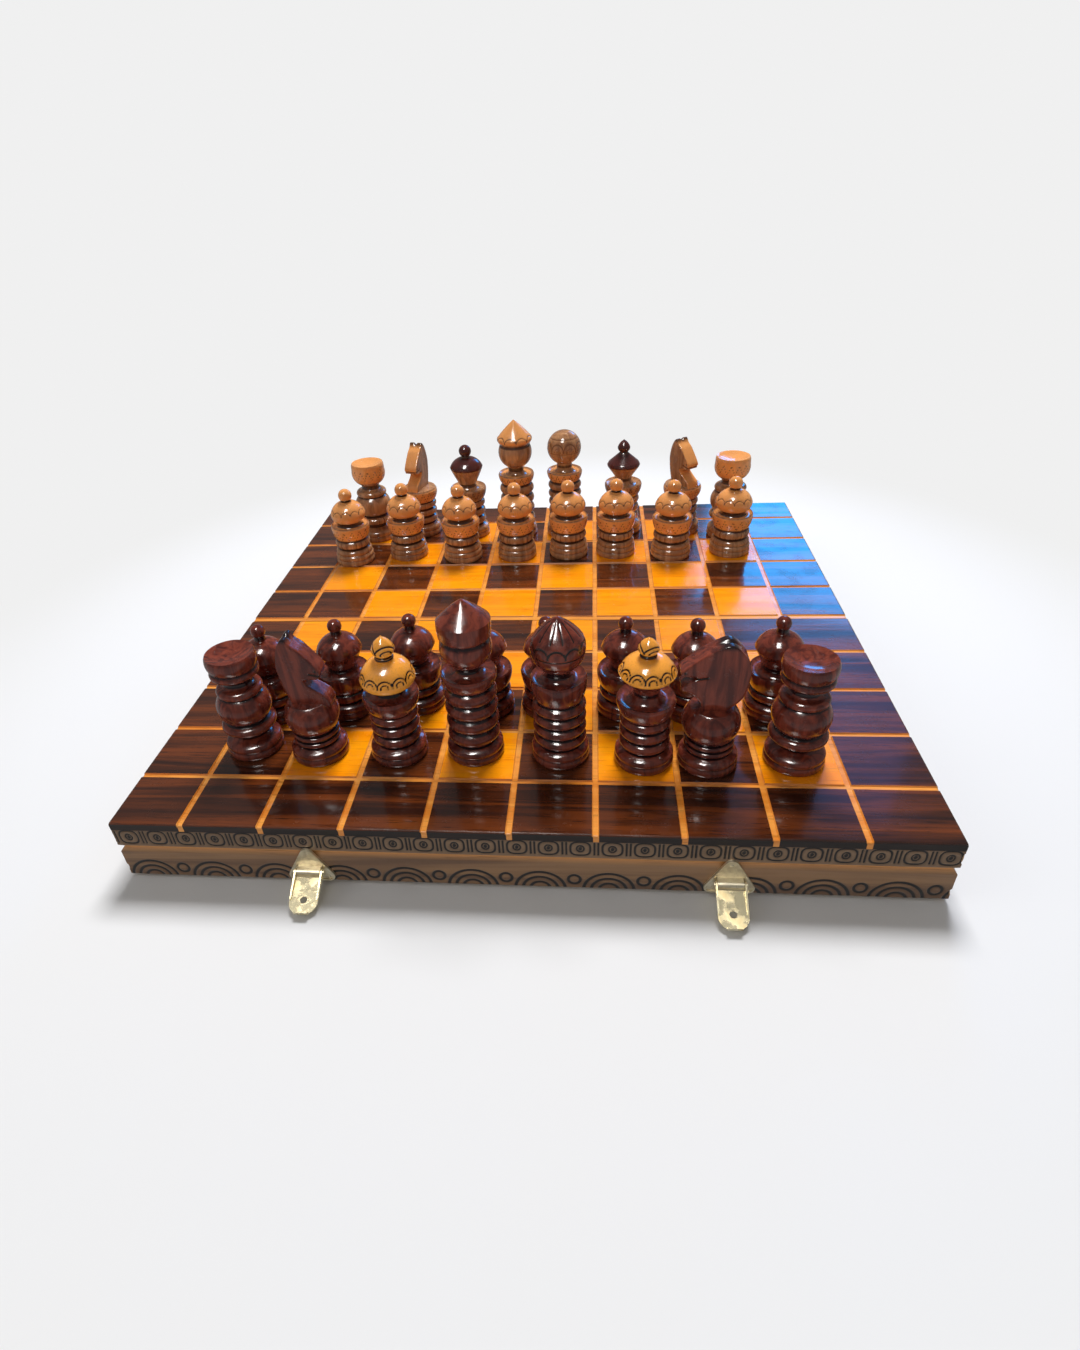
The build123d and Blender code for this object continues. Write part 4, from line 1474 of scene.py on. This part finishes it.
PATTERNS = {
    "near_bishop_left": Pattern(
        (
            Carving(Motif.DOUBLE_SCALLOPS, 49.2, 52.6, 11, 0.6),
            Carving(Motif.RING, 58.6, 60.2, width=1.1),
            Carving(Motif.DOUBLE_SCALLOPS, 63.0, 67.0, 3, 0.55),
        ),
        ((43.4, 80.0),),
    ),
    "near_bishop_right": Pattern(
        (
            Carving(Motif.DOUBLE_SCALLOPS, 54.6, 57.8, 11, 0.6),
            Carving(Motif.RING, 62.0, 63.4, width=1.1),
            Carving(Motif.DOUBLE_SCALLOPS, 65.2, 68.4, 3, 0.55),
        ),
        ((51.6, 80.0),),
    ),
    "near_queen": Pattern(
        (
            Carving(Motif.RING, 63.4, 64.2, width=0.7),
            Carving(Motif.SCALLOPS, 65.6, 69.6, 10, 0.7),
            Carving(Motif.BARS, 72.4, 79.0, 12, 0.6),
        )
    ),
    "far_king": Pattern(
        (
            Carving(Motif.ZIGZAG, 43.8, 48.8, 16),
            Carving(Motif.SCALLOPS, 76.4, 80.0, 9, 0.5),
            Carving(Motif.RING, 57.0, 58.0),
        ),
        ((43.0, 49.8), (75.2, 95.0)),
    ),
    "far_queen": Pattern(
        (
            Carving(Motif.ZIGZAG, 45.0, 50.2, 16),
            Carving(Motif.RING, 67.0, 67.6, width=0.5),
            Carving(Motif.DOUBLE_SCALLOPS, 68.6, 74.6, 8, 0.5),
            Carving(Motif.RING, 77.2, 77.8, width=0.5),
        ),
        ((44.2, 51.0),),
    ),
    "far_bishop_left": Pattern((Carving(Motif.ZIGZAG, 31.8, 37.6, 16),), ((54.8, 80.0),)),
    "far_bishop_right": Pattern((Carving(Motif.ZIGZAG, 31.8, 37.6, 16),), ((52.8, 80.0),)),
    "far_rook": Pattern(
        (Carving(Motif.ZIGZAG, 52.0, 58.6, 14, 0.6), Carving(Motif.BARS, 15.0, 19.2, 20, 0.6)),
        ((48.8, 64.0),),
    ),
    "far_knight": Pattern((Carving(Motif.ZIGZAG, 30.0, 36.0, 16, 0.6),), ((28.4, 37.0),)),
    "far_pawn": Pattern(
        (
            Carving(Motif.BARS, 13.8, 18.4, 20, 0.6),
            Carving(Motif.ZIGZAG, 21.2, 28.2, 15, 0.6),
            Carving(Motif.SCALLOPS, 40.2, 43.2, 11, 0.5),
        ),
        ((20.0, 30.2), (33.4, 60.0)),
    ),
}


@dataclass
class Chessman:
    """A turned man: its outline, the bands carved on it, and where an accent colour lies."""

    node: str
    outline: Outline
    pattern: Pattern = Pattern()
    segments: int = 96
    step: float = 0.55
    carve_depth: float = 0.22
    crease_reach: float = 4.4
    crease_depth: float = 1.4

    def build(self) -> Shape:
        """Turn the outline about the man's own axis and cut its marks.

        Returns:
            The shape, with its marks, the strength of the painted shade in its creases, and accents.
        """
        low, high = low_corner(self.node), high_corner(self.node)
        middle = (low + high) / 2
        path = trace(self.outline, self.step)
        radius, height = path[:, 0], path[:, 1]
        turns = np.arange(self.segments) / self.segments
        tall, turn = np.meshgrid(height, turns, indexing="ij")
        wide = np.repeat(radius[:, None], self.segments, axis=1)
        carved = np.zeros_like(wide)
        for carving in self.pattern.carvings:
            carved = np.maximum(carved, carving.nearness(turn, tall, wide))
        slope = np.gradient(path, axis=0)
        length = np.maximum(np.hypot(slope[:, 0], slope[:, 1]), 1e-6)
        out, up = slope[:, 1] / length, -slope[:, 0] / length
        cut = self.carve_depth * np.clip(carved * 1.5, 0.0, 1.0)
        wide = np.maximum(wide - out[:, None] * cut, 0.0)
        tall_cut = tall - up[:, None] * cut
        angle = 2 * math.pi * turn
        points = np.stack(
            [middle[0] + wide * np.cos(angle), middle[1] + wide * np.sin(angle), low[2] + tall_cut], axis=-1
        )
        # the crease mark is painted shade: it darkens each point by how deep it lies in a crease
        marks = {"carved": carved.ravel(), "crease": self.creases(radius), "accent": self.accents(tall)}
        faces = grid_faces(len(path), self.segments, wrap=True)
        faces = self.without_points(faces, radius)
        return Shape(points.reshape(-1, 3), faces, marks)

    def creases(self, radius: np.ndarray) -> np.ndarray:
        """How deep each point lies between its wider neighbours, for the painted shade in the creases.

        Args:
            radius: Radii along the outline.

        Returns:
            0 on the bulges to 1 in the creases: the strength of the painted shade at each point of the man.
        """
        count = len(radius)
        reach = round(self.crease_reach / self.step)
        above = np.array([radius[i : min(i + reach, count)].max() for i in range(count)])
        below = np.array([radius[max(i - reach, 0) : i + 1].max() for i in range(count)])
        deep = np.clip((np.minimum(above, below) - radius) / self.crease_depth, 0.0, 1.0)
        return np.repeat(deep, self.segments)

    def accents(self, tall: np.ndarray) -> np.ndarray:
        """Where the accent colour lies.

        Args:
            tall: Height of each point.

        Returns:
            1 on the accent, 0 elsewhere.
        """
        inside = np.zeros(tall.shape)
        for low, high in self.pattern.accents:
            inside = np.maximum(inside, (tall > low) & (tall < high))
        return inside.ravel()

    def without_points(self, faces: np.ndarray, radius: np.ndarray) -> list:
        """Draw the rings of points that lie on the axis together to their first point.

        Args:
            faces: Faces of the whole grid.
            radius: Radii along the outline.

        Returns:
            The faces that are left, with three or four corners.
        """
        first = np.arange(len(radius) * self.segments)
        for row in np.flatnonzero(radius < 0.01):
            first[row * self.segments : (row + 1) * self.segments] = row * self.segments
        made = []
        for face in first[faces].tolist():
            corners = list(dict.fromkeys(face))
            if len(corners) > 2:
                made.append(corners)
        return made

    def place(self, material: bpy.types.Material) -> None:
        """Put the man into the scene."""
        make_piece(f"{self.node}_turned", tidy(self.build()), [material], self.node, smooth_angle=42.0)


def tidy(shape: Shape) -> Shape:
    """Drop points that no face uses.

    Args:
        shape: The shape.

    Returns:
        The same shape without them.
    """
    used = np.unique(np.concatenate([np.array(face) for face in shape.faces]))
    number = np.full(len(shape.points), -1)
    number[used] = np.arange(len(used))
    faces = [[int(number[i]) for i in face] for face in shape.faces]
    marks = {name: values[used] for name, values in shape.marks.items()}
    return Shape(shape.points[used], faces, marks, shape.finishes)


class HorseCut(NamedTuple):
    """Sawn outline of a horse's head and what is cut on its cheeks.

    Places are millimetres forward of the man's axis, and shares of the height of neck and head.
    """

    outline: tuple[Point, ...]
    nostril: Point
    mouth: tuple[Point, Point]


SLIM_HORSE = HorseCut(
    (
        (-7.5, 0.0), (-10.2, 0.3), (-11.0, 0.6), (-8.4, 0.87), (-4.4, 1.0), (-1.6, 0.9), (2.4, 0.81),
        (9.4, 0.56), (10.6, 0.46), (8.8, 0.39), (1.6, 0.38), (3.2, 0.27), (10.6, 0.12), (12.6, 0.0),
    ),
    nostril=(8.4, 0.51),
    mouth=((10.8, 0.435), (5.0, 0.47)),
)
BROAD_HORSE = HorseCut(
    (
        (-6.0, 0.0), (-12.6, 0.2), (-15.0, 0.5), (-14.4, 0.7), (-12.0, 0.85), (-5.0, 1.0), (4.7, 0.87),
        (10.0, 0.76), (14.4, 0.65), (16.8, 0.585), (15.2, 0.54), (8.6, 0.525), (12.3, 0.44), (15.8, 0.375),
        (15.4, 0.32), (11.0, 0.27), (6.5, 0.12), (6.0, 0.0),
    ),
    nostril=(14.6, 0.59),
    mouth=((9.0, 0.5), (4.0, 0.52)),
)


def smooth_path(corners: Sequence[Point], count: int) -> list[Point]:
    """Draw a curve that passes through each corner.

    Args:
        corners: The corners.
        count: Number of steps from each corner to the next.

    Returns:
        Points along the curve.
    """
    places = np.array([corners[0], *corners, corners[-1]])
    made = []
    for before, first, second, after in zip(places, places[1:], places[2:], places[3:]):
        for t in np.arange(count) / count:
            turn = 2 * first + (second - before) * t
            turn = turn + (2 * before - 5 * first + 4 * second - after) * t**2
            made.append(tuple((turn + (3 * first - before - 3 * second + after) * t**3) / 2))
    return [*made, tuple(places[-1])]


def rounded_board(sawn: Sequence[Point], thickness: float, voxel: float, passes: int) -> bpy.types.Mesh:
    """Saw an outline from a board and round its edges.

    Args:
        sawn: Outline, forward and height in millimetres.
        thickness: Thickness of the board.
        voxel: Size of the mesh's faces.
        passes: How often the surface is smoothed.

    Returns:
        The mesh, in millimetres.
    """
    count = len(sawn)
    points = [(x, side * thickness / 2, z) for side in (-1, 1) for x, z in sawn]
    walls = [(i, (i + 1) % count, count + (i + 1) % count, count + i) for i in range(count)]
    blank = bpy.data.meshes.new("Blank")
    blank.from_pydata(points, [], [tuple(range(count))[::-1], tuple(range(count, 2 * count)), *walls])
    board = bpy.data.objects.new("Blank", blank)
    bpy.context.scene.collection.objects.link(board)
    voxels = board.modifiers.new("Voxels", "REMESH")
    voxels.mode = "VOXEL"
    voxels.voxel_size = voxel
    rounding = board.modifiers.new("Rounding", "SMOOTH")
    rounding.factor = 0.5
    rounding.iterations = passes
    shaped = board.evaluated_get(bpy.context.evaluated_depsgraph_get())
    mesh = bpy.data.meshes.new_from_object(shaped)
    bpy.data.objects.remove(board)
    bpy.data.meshes.remove(blank)
    return mesh


def from_segment(forward: np.ndarray, height: np.ndarray, start: Point, end: Point) -> np.ndarray:
    """Distance of points from a straight cut.

    Args:
        forward: How far forward each point lies.
        height: How high it lies.
        start: One end of the cut.
        end: The other end.

    Returns:
        The distance of each point.
    """
    run = np.subtract(end, start)
    share = ((forward - start[0]) * run[0] + (height - start[1]) * run[1]) / run.dot(run)
    share = np.clip(share, 0.0, 1.0)
    return np.hypot(forward - start[0] - share * run[0], height - start[1] - share * run[1])


@dataclass
class Knight(Chessman):
    """A knight: a turned body under a horse's head that is sawn from a board and rounded by hand."""

    horse: HorseCut = SLIM_HORSE
    facing: float = 0.0
    top: float = 73.0
    blazed: bool = False
    thickness: float = 10.5
    buried: float = 2.0
    voxel: float = 0.5
    rounding: int = 10
    cut_depth: float = 0.55
    cut_width: float = 0.8
    ear_length: float = 3.4
    ear_split: float = 1.6

    def build(self) -> Shape:
        """Join the turned body and the head."""
        return super().build().join(self.head())

    def head(self) -> Shape:
        """Shape the head and cut its ears, nostrils and mouth.

        Returns:
            The head, with its cuts and blaze marked, and painted shade on its ears.
        """
        foot_height = self.outline[-1][1] - 1.0
        tall = self.top - foot_height
        corners = [(forward, share * tall) for forward, share in self.horse.outline]
        corners = [(corners[0][0], -self.buried), *corners, (corners[-1][0], -self.buried)]
        mesh = rounded_board(smooth_path(corners, 5), self.thickness, self.voxel, self.rounding)
        flat, normals = np.empty(len(mesh.vertices) * 3), np.empty(len(mesh.vertices) * 3)
        mesh.vertices.foreach_get("co", flat)
        mesh.vertices.foreach_get("normal", normals)
        points, normals = flat.reshape(-1, 3), normals.reshape(-1, 3)
        faces = [list(face.vertices) for face in mesh.polygons]
        bpy.data.meshes.remove(mesh)
        carved = self.cuts(points, tall)
        points = points - normals * (self.cut_depth * carved)[:, None]
        forward, side, height = points.T
        ears = np.clip((height - tall + self.ear_length) / 3.0, 0.0, 1.0)
        split = np.clip(1.0 - np.abs(side) / self.ear_split, 0.0, 1.0)
        height = height - self.ear_split * split * ears
        blaze = np.clip((normals[:, 0] * 0.85 + normals[:, 2] * 0.5 - 0.35) * 4.0, 0.0, 1.0) * self.blazed
        angle = math.radians(self.facing)
        middle = (low_corner(self.node) + high_corner(self.node)) / 2
        x = middle[0] + forward * math.cos(angle) - side * math.sin(angle)
        y = middle[1] + forward * math.sin(angle) + side * math.cos(angle)
        z = low_corner(self.node)[2] + foot_height + height
        # painted shade: the ears and the notch between them are darkened through the crease mark
        marks = {"carved": carved, "crease": 0.8 * ears, "accent": blaze}
        return Shape(np.stack([x, y, z], axis=1), faces, marks)

    def cuts(self, points: np.ndarray, tall: float) -> np.ndarray:
        """Nearness of the head's points to its nostrils and mouth.

        Args:
            points: The points, before the head is turned.
            tall: Height of neck and head.

        Returns:
            1 in a cut, 0 off it.
        """
        forward, side, height = points.T
        on_cheek = np.clip((np.abs(side) - self.thickness / 2 + 2.4) / 1.2, 0.0, 1.0)
        nostril = np.hypot(forward - self.horse.nostril[0], height - self.horse.nostril[1] * tall)
        nostril = np.clip(1.3 - nostril / self.cut_width, 0.0, 1.0)
        start, end = [(place, share * tall) for place, share in self.horse.mouth]
        from_mouth = from_segment(forward, height, start, end)
        mouth = np.clip(1.2 - from_mouth / self.cut_width, 0.0, 1.0)
        return np.maximum(on_cheek * nostril, mouth)


HORSES = {
    "near_knight_left": (SLIM_HORSE, 0.0, 72.6),
    "near_knight_right": (BROAD_HORSE, 180.0, 70.8),
    "far_knight_left": (SLIM_HORSE, -106.0, 73.2),
    "far_knight_right": (SLIM_HORSE, -55.0, 72.6),
}


def outline_of(node: str) -> Outline:
    """Outline for a chessman, by its side, its kind and, for a bishop, its place.

    Args:
        node: The man's node.

    Returns:
        The outline.
    """
    side, kind = node.split("_")[:2]
    if kind == "king":
        return near_king() if side == "near" else far_king()
    if kind == "queen":
        return near_queen() if side == "near" else far_queen()
    if kind == "bishop":
        if side == "near":
            return low_bishop() if node.endswith("left") else high_bishop()
        return bell_bishop() if node.endswith("left") else cone_bishop()
    if kind == "rook":
        return near_rook() if side == "near" else far_rook()
    if kind == "knight":
        return near_knight() if side == "near" else far_knight()
    return near_pawn() if side == "near" else far_pawn()


# ---------------------------------------------------------------------------------------------
# Studio
# ---------------------------------------------------------------------------------------------


class Throw(Enum):
    """What a lamp does."""

    ALL = "light and highlights"
    LIGHT = "light alone"
    SHEEN = "highlights alone"


@dataclass(frozen=True)
class Lamp:
    """A rectangular lamp aimed at the middle of the board."""

    name: str
    place: tuple[float, float, float]
    wide: float
    tall: float
    power: float
    colour: Colour
    throw: Throw = Throw.ALL

    def build(self) -> None:
        """Hang the lamp."""
        data = bpy.data.lights.new(self.name, "AREA")
        data.shape = "RECTANGLE"
        data.size = self.wide
        data.size_y = self.tall
        data.energy = self.power
        data.color = self.colour
        lamp = bpy.data.objects.new(self.name, data)
        bpy.context.scene.collection.objects.link(lamp)
        lamp.location = self.place
        lamp.rotation_euler = (-Vector(self.place)).to_track_quat("-Z", "Y").to_euler()
        lamp.visible_glossy = self.throw is not Throw.LIGHT
        lamp.visible_diffuse = self.throw is not Throw.SHEEN


LAMPS = (
    Lamp("Window", (-0.25, -0.75, 1.6), 0.4, 0.76, 34.0, (1.0, 0.98, 0.95), Throw.SHEEN),
    Lamp("Sky", (0.22, 1.42, 2.74), 1.05, 1.05, 109.0, (0.98, 0.98, 1.0), Throw.LIGHT),
    Lamp("Blue pane", (0.585, 1.52, 0.69), 0.49, 0.38, 3.8, (0.006, 0.37, 1.0)),
    Lamp("Blue haze", (0.66, 1.35, 1.15), 0.5, 0.45, 0.7, (0.12, 0.3, 1.0)),
    Lamp("Room", (-1.6, -0.5, 1.2), 1.2, 1.2, 4.7, (1.0, 0.97, 0.92), Throw.LIGHT),
    Lamp("Front", (-0.3, -1.6, 1.5), 0.8, 0.6, 3.0, (1.0, 0.97, 0.92), Throw.LIGHT),
)


@dataclass(frozen=True)
class Studio:
    """Camera, lamps, floor and surroundings."""

    eye: tuple[float, float, float] = (0.0361, -0.4451, 0.2951)
    azimuth: float = 7.33
    pitch: float = 34.03
    roll: float = -3.99
    lens: float = 20.52
    shift_x: float = 0.0219
    shift_y: float = -0.0012
    backdrop: float = 0.872
    paint: float = 0.77
    floor_sheen: float = 0.3
    fill: float = 0.2
    less_gloss: float = 0.03
    shadow_reach: Span = (0.29, 0.48)
    floor_height: float = -0.0016
    floor_span: Span = (-6.0, 9.0)

    def camera(self) -> None:
        """Set up the camera at the photograph's place and angle."""
        data = bpy.data.cameras.new("Camera")
        data.lens = self.lens
        data.shift_x = self.shift_x
        data.shift_y = self.shift_y
        data.clip_start = 0.01
        camera = bpy.data.objects.new("Camera", data)
        bpy.context.scene.collection.objects.link(camera)
        turn = Matrix.Rotation(math.radians(self.azimuth), 4, "Z")
        tilt = Matrix.Rotation(math.radians(90.0 - self.pitch), 4, "X")
        lean = Matrix.Rotation(math.radians(self.roll), 4, "Z")
        camera.matrix_world = Matrix.Translation(self.eye) @ turn @ tilt @ lean
        bpy.context.scene.camera = camera

    def floor(self) -> None:
        """Pale floor under the rims: it takes shadows near the box, and is plain further off."""
        mesh = bpy.data.meshes.new("Floor")
        near, far = self.floor_span
        corners = ((near, near), (-near, near), (-near, far), (near, far))
        mesh.from_pydata([(x, y, self.floor_height) for x, y in corners], [], [(0, 1, 2, 3)])
        finish = Finish("Floor paint")
        finish.surface((self.paint,) * 3, 0.9, None, 0.0, Specular_IOR_Level=0.1)
        wires = finish.wires
        path = wires.put("ShaderNodeLightPath", {}).outputs
        away = wires.put("ShaderNodeVectorMath", {0: finish.place}, operation="LENGTH").outputs["Value"]
        plain = wires.maths("MULTIPLY", path["Is Camera Ray"], wires.ramp(away, *self.shadow_reach))
        seen = wires.maths("MAXIMUM", plain, path["Is Glossy Ray"])
        less = self.floor_sheen - self.backdrop
        strength = wires.maths("MULTIPLY_ADD", path["Is Glossy Ray"], less, self.backdrop)
        glow = wires.put("ShaderNodeEmission", {"Color": (1.0, 1.0, 1.0), "Strength": strength})
        paint = wires.put("ShaderNodeMixShader", {0: seen, 1: finish.shader.outputs[0], 2: glow.outputs[0]})
        output = finish.material.node_tree.nodes["Material Output"]
        wires.feed(output.inputs["Surface"], paint.outputs[0])
        mesh.materials.append(finish.material)
        floor = bpy.data.objects.new("Floor", mesh)
        bpy.context.scene.collection.objects.link(floor)

    def world(self) -> None:
        """Even surroundings, as pale as the floor where the camera sees them."""
        world = bpy.data.worlds.new("Surroundings")
        world.use_nodes = True
        wires = Wiring(world.node_tree)
        background = world.node_tree.nodes["Background"]
        path = wires.put("ShaderNodeLightPath", {}).outputs
        seen = wires.maths("MAXIMUM", path["Is Camera Ray"], path["Is Transmission Ray"])
        strength = wires.maths("MULTIPLY_ADD", seen, self.backdrop - self.fill, self.fill)
        strength = wires.maths("MULTIPLY_ADD", path["Is Glossy Ray"], -self.less_gloss, strength)
        wires.feed(background.inputs["Strength"], strength)
        background.inputs["Color"].default_value = (1.0, 1.0, 1.0, 1.0)
        bpy.context.scene.world = world

    def build(self) -> None:
        """Set up the whole studio."""
        self.camera()
        for lamp in LAMPS:
            lamp.build()
        self.floor()
        self.world()
        bpy.context.scene.view_settings.view_transform = "Standard"


# ---------------------------------------------------------------------------------------------
# The whole
# ---------------------------------------------------------------------------------------------


def build_box() -> None:
    """Panels, rails and the plain pieces of both halves."""
    squares = [DARK_SQUARE, LIGHT_SQUARE, GROOVE_WOOD, PANEL_EDGE, TRAY_WOOD]
    panel_materials = [wood.build() for wood in squares]
    for half in Half:
        PlayingPanel(half).place(panel_materials)
    end_woods = [RAIL_WOOD.build(), panel_materials[-1]]
    side_woods = [SIDE_RAIL_WOOD.build(), panel_materials[-1]]
    for node in ("near_front_rail", "far_back_rail"):
        EndRail(node, Corner.MITRED, Corner.MITRED).place(end_woods)
    for node in ("near_left_rail", "near_right_rail", "far_left_rail", "far_right_rail"):
        starts_at_corner = node in ("near_right_rail", "far_left_rail")
        ends = (Corner.MITRED, Corner.SQUARE) if starts_at_corner else (Corner.SQUARE, Corner.MITRED)
        SideRail(node, *ends).place(side_woods)
    for node in ("near_fold_rail", "far_fold_rail"):
        dress(node, panel_materials[-1])


def build_metalwork() -> None:
    """Hinges, clasps, catches and their fasteners."""
    plates = PLATE_BRASS.build()
    hasps = HASP_BRASS.build()
    steel = PLAIN_STEEL.build()
    for part in frame["record"]["subparts"]:
        if part["material_slot"] == "aged_brass":
            # hasps get the brighter brass, which carries a painted highlight
            dress(part["node"], hasps if "hasp" in part["node"] else plates)
        elif part["material_slot"] == "steel_screws":
            dress(part["node"], steel)


def build_men() -> None:
    """All the chessmen."""
    woods = {"near": DARK_MEN.build(), "far": LIGHT_MEN.build(), "far_bishop": LIGHT_BISHOPS.build()}
    for part in frame["record"]["subparts"]:
        node = part["node"]
        if part["material_slot"] not in ("dark_men_wood", "light_men_wood"):
            continue
        kind = "_".join(node.split("_")[:2])
        wood = woods.get(kind, woods[node.split("_")[0]])
        pattern = PATTERNS.get(node, PATTERNS.get(kind, Pattern()))
        if node in HORSES:
            horse, facing, top = HORSES[node]
            Knight(node, outline_of(node), pattern, horse=horse, facing=facing, top=top,
                   blazed=node.startswith("far")).place(wood)
        else:
            Chessman(node, outline_of(node), pattern).place(wood)


def main() -> None:
    """Build every part of the scene in order."""
    logging.basicConfig(level=logging.INFO, format="%(message)s")
    Groups.build()
    Studio().build()
    build_box()
    build_metalwork()
    build_men()


if __name__ == "__main__":
    main()
